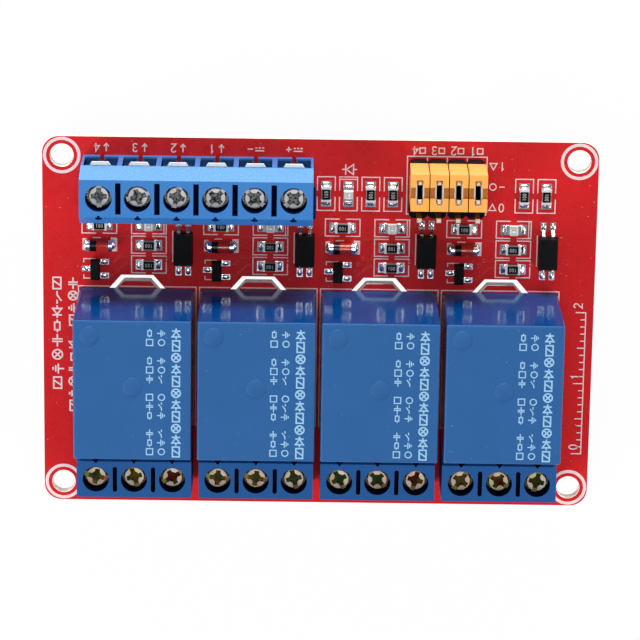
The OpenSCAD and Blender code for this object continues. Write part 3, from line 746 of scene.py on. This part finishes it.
def dress_relay(c):
    # The top takes the satin blue, the sides the darker blue of painted shade
    dress(f"relay_cover_{c}", RELAY, RELAY_SIDE, pick=lambda _, normal: 0 if normal.z > 0.5 else 1)
    soften(f"relay_cover_{c}", 0.05 * MM)
    parts = {"base": RELAY_BASE, "pins": BRONZE, "yoke": IRON, "bobbin": BOBBIN,
             "winding": WINDING, "armature": IRON, "contact_leaf": BRONZE}
    for part, material in parts.items():
        dress(f"relay_{part}_{c}", material)


def dress_header():
    dress("header_bases", HEADER)
    soften("header_bases", 0.06 * MM)
    dress_pins()
    for c in CHANNELS:
        dress_cap(f"jumper_cap_{c}")
        soften(f"jumper_cap_{c}", 0.05 * MM)
        dress(f"jumper_clip_{c}", CLIP)


def dress_cad():
    dress_board()
    dress("solder_joints", SOLDER)
    dress_terminals()
    dress_header()
    dress_chips("chip_resistors", ALUMINA, ALUMINA, CHIP_END)
    dress_chips("chip_leds", LED_BODY, LED_LENS, SOLDER)
    dress_diodes()
    dress_package("transistors", 1.3 * MM, 2.9 * MM)
    dress_package("optocouplers", 2.6 * MM, 4.4 * MM)
    for c in CHANNELS:
        dress_relay(c)


# Print on the board


SILK_W = 0.145 * MM
SILK_TOP = TOP + PRINT_T


def line(shape, path, closed=False, width=SILK_W, top=SILK_TOP):
    shape.ribbon(path, width, TOP, top, closed)


def bar(shape, centre, length, turn=0.0):
    line(shape, at(centre, [(-length / 2, 0), (length / 2, 0)], turn=turn))


def hole_rings(shape):
    """A broad ring round each mounting hole."""
    dims = next(m["dims"] for m in frame["record"]["mounts"] if m["name"] == "mounting_holes")
    radius, width = 2.28 * MM, 0.42 * MM
    for hole in at((0, 0), rectangle(dims["spacing_x_mm"] / 2, dims["spacing_y_mm"] / 2)):
        line(shape, circle(hole, radius, 72), True, width)


def relay_edge(c):
    """The middle of the relay's edge that faces the small parts."""
    low, high = RELAYS[c - 1]
    return (low.x + high.x) / 2, high.y


def relay_outlines(shape):
    """A frame round each relay, broken where the isolation slot cuts through it."""
    side, end = 0.15 * MM, 0.22 * MM
    slot_half, land = 3.65 * MM, 4.6
    for low, high in RELAYS:
        x, y0, y1 = (low.x + high.x) / 2, low.y - end, high.y + end
        for s, edge in ((-1, low.x - side), (1, high.x + side)):
            line(shape, [(x + s * slot_half, y1), (edge, y1), (edge, y0)])
        bar(shape, (x, y1), land)


def chip_outlines(shape):
    """Two brackets round each chip, and a bar at one end of each lamp."""
    half_l, half_w, half_gap = 2.31, 1.18, 0.425
    for centre, turn, _ in placed(RESISTORS + LEDS):
        for s in (-1, 1):
            bracket = [(s * half_gap, half_w), (s * half_l, half_w), (s * half_l, -half_w),
                       (s * half_gap, -half_w)]
            line(shape, at(centre, bracket, turn=turn))
    for centre, turn, _ in placed(LEDS):
        line(shape, at(centre, [(2.0, -1.1), (2.0, 1.1)], turn=turn))


def diode_outlines(shape):
    """Two bars beside each diode, and a printed block round each of its ends."""
    for centre, _, _ in placed(DIODES):
        for s in (-1, 1):
            bar(shape, near(centre, -0.35, s * 0.92), 1.1)
        for x, half in ((1.95, (0.42, 0.95)), (-1.95, (0.3, 0.8))):
            shape.block(near(centre, x, 0), half, TOP, SILK_TOP)


def package_outlines(shape):
    """Two brackets on the left of each transistor, and a bar on the left of each optocoupler."""
    for centre, _, _ in placed(TRANSISTORS):
        for s in (-1, 1):
            line(shape, at(centre, [(-1.55, s * 0.85), (-1.55, s * 1.35), (0.05, s * 1.35)]))
    for centre, _, _ in placed(OPTOS):
        bar(shape, near(centre, -1.42, 0), 4.3, 90)


def header_outline(shape):
    """A frame round the header, with a line between each two columns of pins."""
    low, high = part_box("header_bases")
    x0, y0 = near(low, -0.25, -0.1)
    x1, y1 = near(high, 0.25, 0.3)
    line(shape, [(x0, y0), (x1, y0), (x1, y1), (x0, y1)], True)
    for i in (1, 2, 3):
        x = x0 + i * (x1 - x0) / 4
        line(shape, [(x, y0 + SILK_W), (x, y1 - SILK_W)], top=SILK_TOP - STEP_T)


def print_outlines():
    shape = Shape()
    hole_rings(shape)
    relay_outlines(shape)
    chip_outlines(shape)
    diode_outlines(shape)
    package_outlines(shape)
    header_outline(shape)
    shape.make("silk_outlines", SILK)


# Digits and simple signs


LABEL_H = 1.1
LABEL_W = 0.16


def glyph_strokes():
    """Each sign's strokes as paths, in a cell one unit high."""
    bowl_high = arc((0, 0.25), 0.25, 0.25, 160, -90)
    bowl_low = arc((0, -0.25), 0.25, 0.25, 90, -160)
    return {
        "0": [loop(arc((0, 0), 0.27, 0.5, 0, 350, 20))],
        "1": [[(-0.14, 0.3), (0.03, 0.5), (0.03, -0.5)]],
        "2": [arc((0, 0.24), 0.26, 0.26, 165, -35) + [(-0.28, -0.5), (0.3, -0.5)]],
        "3": [bowl_high + bowl_low[1:]],
        "4": [[(0.12, -0.5), (0.12, 0.5), (-0.3, -0.18), (0.32, -0.18)]],
        "+": [[(-0.32, 0), (0.32, 0)], [(0, -0.32), (0, 0.32)]],
        "-": [[(-0.32, 0), (0.32, 0)]],
        "direct": [[(-0.45, 0.2), (0.45, 0.2)], [(-0.45, -0.15), (-0.22, -0.15)],
                   [(-0.1, -0.15), (0.12, -0.15)], [(0.24, -0.15), (0.45, -0.15)]],
        "arrow": [[(-0.5, 0), (0.45, 0)], [(0.12, 0.3), (0.48, 0), (0.12, -0.3)]],
        "up": [loop([(-0.38, -0.3), (0, 0.42), (0.38, -0.3)])],
        "down": [loop([(-0.38, 0.3), (0, -0.42), (0.38, 0.3)])],
        "ring": [loop(arc((0, 0), 0.36, 0.36, 0, 345, 22))],
        "square": [loop(rectangle(0.36, 0.36))],
        "coil": [loop(rectangle(0.45, 0.3)), [(-0.2, -0.3), (0.2, 0.3)]],
        "contact": [[(-0.5, 0), (-0.2, 0), (0.28, 0.34)], [(0.2, 0), (0.5, 0)]],
        "diode": [[(-0.5, 0), (-0.26, 0)], loop([(-0.26, -0.34), (0.22, 0), (-0.26, 0.34)]),
                  [(0.26, -0.36), (0.26, 0.36)], [(0.28, 0), (0.5, 0)]],
        "earth": [[(0, 0.5), (0, 0.1)], [(-0.4, 0.06), (0.4, 0.06)],
                  [(-0.26, -0.14), (0.26, -0.14)], [(-0.12, -0.34), (0.12, -0.34)]],
        "plates": [[(-0.5, 0), (-0.12, 0)], [(-0.1, -0.4), (-0.1, 0.4)],
                   [(0.1, -0.4), (0.1, 0.4)], [(0.12, 0), (0.5, 0)]],
        "resistor": [[(-0.5, 0), (-0.3, 0)], loop(rectangle(0.3, 0.2)), [(0.3, 0), (0.5, 0)]],
        "lamp": [loop(arc((0, 0), 0.38, 0.38, 0, 345, 22)), [(-0.25, -0.25), (0.25, 0.25)],
                 [(-0.25, 0.25), (0.25, -0.25)]],
    }


GLYPHS = glyph_strokes()


def strokes(sign, stretch=1.0):
    """A sign's strokes as paths, each with whether it closes on itself."""
    for stroke in GLYPHS[sign]:
        closed = stroke[0] == stroke[-1]
        yield [(x * stretch, y) for x, y in (stroke[:-1] if closed else stroke)], closed


def draw(shape, sign, centre, height, width, turn=0.0, low=TOP, stretch=1.0):
    """Draws a sign, its height and line width in millimetres.

    Each stroke is a hair thinner than the last, so that none coincide.
    """
    for k, (path, closed) in enumerate(strokes(sign, stretch)):
        top = low + PRINT_T - k * STEP_T
        shape.ribbon(at(centre, path, height * MM, turn), width * MM, low, top, closed)


def input_labels(shape):
    """A number and an arrow at each input, and the signs of the supply."""
    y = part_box("input_terminal_housing")[1].y + 1.05 * MM
    labels = (("4", "arrow"), ("3", "arrow"), ("2", "arrow"), ("1", "arrow"),
              ("-", "direct"), ("+", "direct"))
    for (screw, _, _), (value, sign) in zip(placed(solids("input_clamp_screws")), labels):
        place = (screw.x, y)
        turn, stretch = (90, 1.0) if sign == "arrow" else (180, 1.2)
        draw(shape, value, near(place, -0.75, 0), LABEL_H, LABEL_W, 180)
        draw(shape, sign, near(place, 0.5, 0), LABEL_H, LABEL_W, turn, stretch=stretch)


def header_labels(shape):
    """A number at each column of pins, and a sign at each row."""
    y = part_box("input_terminal_housing")[1].y + 1.15 * MM
    for c in CHANNELS:
        place = (middle(f"jumper_cap_{c}").x, y)
        draw(shape, str(5 - c), near(place, -0.45, 0), LABEL_H, LABEL_W, 180)
        draw(shape, "square", near(place, 0.5, 0), 1.0, LABEL_W, 180)
    low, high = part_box("header_pins")
    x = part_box("header_bases")[1].x + 1.1 * MM
    rows = (high.y, (low.y + high.y) / 2, low.y)
    for y, sign, value in zip(rows, ("up", "ring", "down"), "1-0"):
        draw(shape, sign, (x, y), 1.2, 0.15, 180)
        draw(shape, value, near((x, y), 1.2, 0), LABEL_H, 0.15, 180)


def sign_columns(shape):
    """Two columns of circuit signs along the left edge."""
    signs = ("coil", "contact", "diode", "resistor", "plates", "lamp", "earth")
    start, width = (BOARD_LOW.x, 5.2 * MM), 0.21
    for inset, size, pitch, count, first in ((1.85, 1.75, 2.0, 8, 0), (4.0, 1.6, 1.72, 12, 4)):
        for i in range(count):
            sign = signs[(first + i) % len(signs)]
            draw(shape, sign, near(start, inset, -i * pitch), size, width, -90)


def ruler(shape):
    """A scale of two centimetres along the right edge, with a tick for each millimetre."""
    start = (BOARD_HIGH.x - 1.1 * MM, -18.0 * MM)
    for i in range(21):
        tick = 1.3 if i % 10 == 0 else 0.95 if i % 5 == 0 else 0.6
        line(shape, at(start, [(0, i), (-tick, i)]))
    line(shape, at(start, [(0.07, -0.06), (0.07, 20.06)]), top=SILK_TOP - STEP_T)
    for i, digit in enumerate("012"):
        draw(shape, digit, near(start, -1.0, 10 * i + 0.95), LABEL_H, LABEL_W, 90)


def print_signs():
    shape = Shape()
    input_labels(shape)
    header_labels(shape)
    sign_columns(shape)
    ruler(shape)
    power_lamp = next(centre for centre, turn, _ in placed(LEDS) if turn)
    draw(shape, "diode", near(power_lamp, 0.1, 3.35), 2.0, LABEL_W, 180)
    shape.make("silk_signs", SILK)


def print_relays():
    """Three columns of plain signs on the right half of each relay's top."""
    signs = ("coil", "contact", "resistor", "diode", "ring", "plates", "lamp", "earth", "square")
    # x, size, line width, pitch, and whether every fourth place is left bare
    columns = ((5.75, 1.5, 0.2, 1.62, False), (3.85, 1.15, 0.15, 1.25, True),
               (2.3, 1.15, 0.15, 1.25, True))
    front, back = 1.2 * MM, 1.6 * MM
    for c, (low, high) in enumerate(RELAYS, 1):
        start = ((low.x + high.x) / 2, low.y + front)
        shape = Shape()
        for k, (x, size, width, pitch, gaps) in enumerate(columns):
            for i in range(math.ceil((high.y - back - start[1]) / (pitch * MM))):
                if not (gaps and i % 4 == 3):
                    sign = signs[(3 * i + 4 * k) % len(signs)]
                    draw(shape, sign, near(start, x, i * pitch), size, width, 90, low=high.z)
        shape.make(f"relay_print_{c}", RELAY_INK)


# Solder, pads and tracks on the parts' side


FILLET_SECTION = ((-1, 0), (-0.92, 0.55), (-0.6, 0.9), (0, 1), (0.6, 0.9), (0.92, 0.55), (1, 0))
DOME_LEVELS = ((1.0, 0.0), (0.96, 0.3), (0.84, 0.6), (0.62, 0.83), (0.34, 0.96), (0.08, 1.0))


def fillet(shape, centre, along, start, side, top):
    """Solder that runs in a hollow curve from a chip's end face down to the end of its pad.

    along is the axis of the chip's length. The curve starts at the distance start from the centre,
    to the side -1 or 1.
    """
    steps, hollow = 6, 2.2
    length, toe = 0.72 * MM, 0.03 * MM
    root_w, tip_w = 1.2 * MM, 1.3 * MM
    rings = []
    for i in range(steps + 1):
        t = i / steps
        rise = toe + (top - TOP - toe) * (1 - t) ** hollow
        half_w = (root_w + (tip_w - root_w) * math.sin(t * math.pi / 2)) / 2
        section = []
        for u, v in FILLET_SECTION:
            point = [centre.x, centre.y, TOP + rise * v]
            point[along] += side * (start + length * t)
            point[1 - along] += u * half_w
            section.append(point)
        rings.append(section)
    shape.loft(rings, True)


def chip_solder(shape, pads):
    """A fillet on a pad at both ends of each chip."""
    wetted, overlap, pad_reach = 0.5 * MM, 0.02 * MM, 0.23 * MM
    pad_half_l, pad_half_w = 0.53, 0.7
    for low, high in RESISTORS + LEDS:
        centre = (low + high) / 2
        along = long_axis(low, high)
        half_l = (high[along] - low[along]) / 2
        half_pad = (pad_half_w, pad_half_l) if along else (pad_half_l, pad_half_w)
        for side in (-1, 1):
            fillet(shape, centre, along, half_l - overlap, side, min(high.z, TOP + wetted))
            pad = centre.copy()
            pad[along] += side * (half_l + pad_reach)
            pads.block(pad, half_pad, TOP, TOP + COPPER_T)


def dome(shape, centre, rx, ry, height):
    """A low round-topped blob standing on the board."""
    foot = TOP + PRINT_T
    shape.loft([
        [(x, y, foot + height * z * MM) for x, y in ellipse(centre, rx * r * MM, ry * r * MM, 20)]
        for r, z in DOME_LEVELS
    ], True)


def lead_solder(shape, pads):
    """Low joints at the packages' leads, and higher ones round the diodes' ends."""
    # Each joint's place, half its width and length, and half its pad's
    joints = []
    for low, high in OPTOS:
        x = (low.x + high.x) / 2
        for y, inwards in ((high.y, -0.1), (low.y, 0.1)):
            for lead in (-0.635, 0.635):
                joints.append((near((x, y), lead, inwards), (0.36, 0.5), (0.4, 0.6)))
    for low, high in TRANSISTORS:
        y = (low.y + high.y) / 2
        for x, inwards, lead in ((low.x, 0.05, 0), (high.x, -0.05, -0.95), (high.x, -0.05, 0.95)):
            joints.append((near((x, y), inwards, lead), (0.55, 0.34), (0.62, 0.38)))
    for place, blob, half_pad in joints:
        dome(shape, place, *blob, 0.2)
        pads.block(place, half_pad, TOP, TOP + COPPER_T)
    for low, high in DIODES:
        y = (low.y + high.y) / 2
        for x, outwards in ((low.x, -0.05), (high.x, 0.05)):
            dome(shape, near((x, y), outwards, 0), 0.42, 0.7, 0.55)


def solder_parts():
    shape = Shape()
    pads = Shape()
    chip_solder(shape, pads)
    lead_solder(shape, pads)
    shape.make("top_solder", SOLDER, slot="solder")
    pads.make("top_pads", SOLDER, slot="solder")


def top_tracks():
    """Copper under the lacquer round the small parts, with the vias between them.

    The runs are measured from the middle of the relay's edge, and each has its width.
    """
    shape = Shape()
    high = TOP + PRINT_T * 0.8
    rim = high + 0.02 * MM
    via = [(0.36 * MM, TOP), (0.36 * MM, high), (0.3 * MM, rim), (0.16 * MM, rim),
           (0.13 * MM, TOP + STEP_T)]
    runs = (
        ([(-4.3, 1.7), (-3.3, 1.7), (-1.6, 3.35), (0.2, 3.35)], 0.3),
        ([(-2.95, 3.6), (-2.3, 4.35), (-1.2, 4.35), (0, 5.9)], 0.3),
        ([(-3.2, 6.0), (-2.2, 7.2), (-0.2, 7.2), (0.4, 8.6)], 0.4),
        ([(2.9, 6.0), (3.9, 6.0), (5.2, 4.7), (5.5, 2.6)], 0.3),
        ([(2.9, 8.7), (4.2, 8.7), (5.0, 9.5), (5.5, 9.5)], 0.3),
    )
    for c in CHANNELS:
        edge = relay_edge(c)
        for k, (path, width) in enumerate(runs):
            shape.ribbon(at(edge, path), width * MM, TOP, high - k * STEP_T / 3)
        for place in at(edge, [(-2.3, 4.35), (-2.95, 3.6), (3.95, 4.0)]):
            shape.turned(via, place, 24, False)
    shape.make("top_tracks", COPPER_MASK)


# Small parts' details


def chip_coats():
    """Each chip resistor's black coat with a plain number, its border left bare."""
    shape = Shape()
    lift, coat_t, stroke_w = 0.006 * MM, 0.03 * MM, 0.07 * MM
    outline = rectangle(0.71, 0.51)
    for k, (centre, turn, top) in enumerate(placed(RESISTORS)):
        turn += 180 if k % 3 else 0
        top += lift
        shape.plate(at(centre, outline, turn=turn), top - coat_t, top)
        for i, digit in enumerate("100"):
            place = near(centre, (i - 1) * 0.35, 0, turn)
            for path, closed in strokes(digit, 0.8):
                path = at(place, path, 0.46 * MM, turn)
                shape.ribbon(path, stroke_w, top - STEP_T, top + lift, closed, 1)
    shape.make("chip_coats", COAT, MARK_INK)


def diode_bands():
    """A thin dark sleeve round one end of each diode's glass."""
    shape = Shape()
    for low, high in DIODES:
        centre = (low + high) / 2
        start, end = centre.x - 1.2 * MM, centre.x - 0.35 * MM
        outer = (high.z - low.z) / 2 - 0.035 * MM
        inner = outer - 0.03 * MM
        shape.loft([
            [(x, y, z) for y, z in circle((centre.y, centre.z), r, 32)]
            for x, r in ((start, inner), (start, outer), (end, outer), (end, inner))
        ])
    shape.make("diode_bands", BAND)


def led_cups():
    """The white cup, the two bright ends and the wire that show through a lamp's clear resin."""
    shape = Shape()
    for centre, turn, top in placed(LEDS):
        plates = [circle((0, 0), 0.24, 20)]
        plates += [[(s * 0.36, -0.42), (s * 0.5, -0.3), (s * 0.5, 0.3), (s * 0.36, 0.42)]
                   for s in (-1, 1)]
        for outline in plates:
            shape.plate(at(centre, outline, turn=turn), top - STEP_T, top + STEP_T)
        wire = at(centre, [(-0.24, 0.1), (0.3, 0.1)], turn=turn)
        shape.ribbon(wire, 0.07 * MM, top, top + 2 * STEP_T, slot=1)
    shape.make("led_cups", LED_CUP, EPOXY)


def opto_dots():
    """The dimple that marks an optocoupler's first lead."""
    shape = Shape()
    for low, high in OPTOS:
        top = high.z
        dimple = [(0.26 * MM, top - STEP_T), (0.24 * MM, top + STEP_T), (0.05 * MM, top)]
        shape.turned(dimple, near((low.x, (low.y + high.y) / 2), 0.62, 1.62), 20)
    shape.make("opto_dots", COAT)


def relay_marks():
    """The moulding's two low round marks on each relay's top."""
    shape = Shape()
    for low, high in RELAYS:
        disc = [(radius * MM, high.z + rise * MM)
                for radius, rise in ((1.29, -0.1), (1.29, 0.01), (1.16, 0.07), (0.02, 0.075))]
        corner = near((low.x, high.y), 2.1, -2.1)
        centre = near((low + high) / 2, 0, 0.5)
        for place in (corner, centre):
            shape.turned(disc, place, 48)
    shape.make("relay_marks", RELAY)


# Copper and pads on the underside


def under_pads():
    """A round tinned pad under each solder joint."""
    shape = Shape()
    for low, high in solids("solder_joints"):
        radius = (high.x - low.x) / 2 + 0.3 * MM
        pad = [(radius, UNDER + STEP_T), (radius, UNDER - COPPER_T),
               (radius - 0.1 * MM, UNDER - 1.4 * COPPER_T)]
        shape.turned(pad, (low + high) / 2, 32, False)
    shape.make("under_pads", SOLDER, slot="solder")


def channel_runs(c, input_x, input_y, terminal_y):
    """A channel's runs, each with its width: contacts to terminals, coil, and input."""
    x, top = relay_edge(c)
    coil_y, contact_y = top - 4.15 * MM, top - 16.35 * MM
    pole = 5.08 * MM
    runs = []
    for s in (-1, 1):
        side = x + s * 6 * MM
        bend_y = terminal_y + 2.5 * MM
        contact = [(side, contact_y), (side, bend_y), (x + s * pole, terminal_y)]
        coil = [(side, coil_y), (side, top + 3 * MM), (side - s * 2 * MM, top + 5 * MM)]
        runs += [(contact, 2.6), (coil, 0.9)]
    runs.append(([(x, coil_y + 2 * MM), (x, terminal_y)], 3.4))
    runs.append((at((x, top), [(6, 3.4), (6, 6.4), (3, 9.4)]), 0.6))
    via_x, via_y = near((x, top), -2.95, 3.6)
    bend_y = input_y - (8 - c) * 0.8 * MM
    runs.append(([(via_x, via_y), (via_x, bend_y - MM), (via_x + MM, bend_y),
                  (input_x - MM, bend_y), (input_x, bend_y + MM), (input_x, input_y)], 0.5))
    return runs


def supply_runs(minus_x, plus_x, input_y):
    """The two supply runs, one along the inputs and one along the board's rim."""
    right = BOARD_HIGH.x - 3.2 * MM
    rail_y = input_y - 4.6 * MM
    rim_y = BOARD_HIGH.y - 1.3 * MM
    rail = [(plus_x, input_y), (plus_x + 2 * MM, rail_y + 2 * MM), (plus_x + 4 * MM, rail_y),
            (right, rail_y)]
    rim = [(minus_x, input_y), (minus_x, rim_y), (right - 4 * MM, rim_y)]
    return [(rail, 1.6), (rim, 1.6)]


def under_tracks():
    """Copper under the lacquer. Neighbouring runs differ a hair in height, so none coincide."""
    shape = Shape()
    input_x = [centre.x for centre, _, _ in placed(solids("input_clamp_screws"))]
    input_y = middle("input_clamp_screws").y
    terminal_y = middle("output_clamp_screws").y
    runs = []
    for c in CHANNELS:
        runs += channel_runs(c, input_x[c - 1], input_y, terminal_y)
    runs += supply_runs(*input_x[4:], input_y)
    for k, (path, width) in enumerate(runs, 1):
        low = UNDER - COPPER_T / 2 - k % 7 * STEP_T / 2
        shape.ribbon(path, width * MM, low, UNDER + STEP_T)
    shape.make("under_tracks", COPPER_MASK)


# Camera, floor and light


def camera():
    """The photograph's view: far away, about 17 degrees off square, from the inputs' side."""
    place = Vector((-2.862, 139.182, 460.282)) * MM
    ahead = Vector((0.006423, -0.289400, -0.957187)).normalized()
    right = ahead.cross(Vector((-0.012923, 0.957103, -0.289461))).normalized()
    up = right.cross(ahead).normalized()
    data = bpy.data.cameras.new("camera")
    data.sensor_width = 36
    data.lens = 200.79
    data.clip_start = 0.01
    data.clip_end = 20
    cam = bpy.data.objects.new("camera", data)
    turn = Matrix((right, up, -ahead)).transposed()
    cam.matrix_world = Matrix.Translation(place) @ turn.to_4x4()
    bpy.context.scene.collection.objects.link(cam)
    bpy.context.scene.camera = cam


def seen_directly(nodes):
    """1 on the rays by which the camera, a shiny surface or glass sees the surface."""
    rays = nodes.node("ShaderNodeLightPath").outputs
    seen = nodes.maths("MAXIMUM", rays["Is Camera Ray"], rays["Is Glossy Ray"])
    return nodes.maths("MAXIMUM", seen, rays["Is Transmission Ray"])


def floor():
    """A pale floor that is seen nearly white and keeps a part of the object's shadow."""
    half, white_share = 3.0, 0.96
    z = cad_box[0].z - 0.05 * MM
    mesh = bpy.data.meshes.new("floor")
    mesh.from_pydata([(x, y, z) for x, y in rectangle(half, half)], [], [(0, 1, 2, 3)])
    material = bpy.data.materials.new("floor_white")
    nodes = Nodes(material)
    paint = nodes.node("ShaderNodeBsdfDiffuse")
    paint.inputs["Color"].default_value = (0.85, 0.85, 0.85, 1)
    glow = nodes.node("ShaderNodeEmission")
    mix = nodes.node("ShaderNodeMixShader")
    nodes.link(nodes.maths("MULTIPLY", seen_directly(nodes), white_share), mix.inputs[0])
    nodes.link(paint.outputs[0], mix.inputs[1])
    nodes.link(glow.outputs[0], mix.inputs[2])
    nodes.link(mix.outputs[0], nodes.node("ShaderNodeOutputMaterial").inputs["Surface"])
    mesh.materials.append(material)
    ground = bpy.data.objects.new("floor", mesh)
    bpy.context.scene.collection.objects.link(ground)


def world():
    """A plain white sky that is brighter near the horizon than overhead."""
    sky = bpy.data.worlds.new("studio")
    bpy.context.scene.world = sky
    nodes = Nodes(sky)
    split = nodes.node("ShaderNodeSeparateXYZ")
    nodes.link(nodes.node("ShaderNodeTexCoord").outputs["Generated"], split.inputs[0])
    light = nodes.node("ShaderNodeBackground")
    light.inputs["Color"].default_value = (1, 1, 1, 1)
    fade = nodes.ramp(split.outputs[2], 0.1, 0.85, 0.7, 0.16, interpolation_type="SMOOTHSTEP")
    nodes.link(fade, light.inputs["Strength"])
    nodes.link(light.outputs[0], nodes.node("ShaderNodeOutputWorld").inputs["Surface"])


def lamp(name, place, size, power):
    """A soft lamp aimed at the object. The size is its width and height."""
    data = bpy.data.lights.new(name, "AREA")
    data.shape = "RECTANGLE"
    data.size, data.size_y = size
    data.energy = power
    thing = bpy.data.objects.new(name, data)
    thing.location = place
    thing.rotation_mode = "QUATERNION"
    thing.rotation_quaternion = (-Vector(place)).to_track_quat("-Z", "Y")
    thing.visible_camera = False
    bpy.context.scene.collection.objects.link(thing)


def lights():
    lamp("key_left", (-0.5, -0.36, 0.34), (0.4, 0.4), 3.8)
    lamp("key_right", (0.52, -0.26, 0.38), (0.4, 0.4), 1.9)
    lamp("over", (0, 0.14, 0.68), (0.12, 0.3), 0.9)
    lamp("front", (0, 0.76, 0.14), (0.5, 0.24), 6.4)


dress_cad()
print_outlines()
print_signs()
print_relays()
solder_parts()
top_tracks()
chip_coats()
diode_bands()
led_cups()
opto_dots()
relay_marks()
under_pads()
under_tracks()
camera()
floor()
world()
lights()
bpy.context.scene.view_settings.view_transform = "Standard"
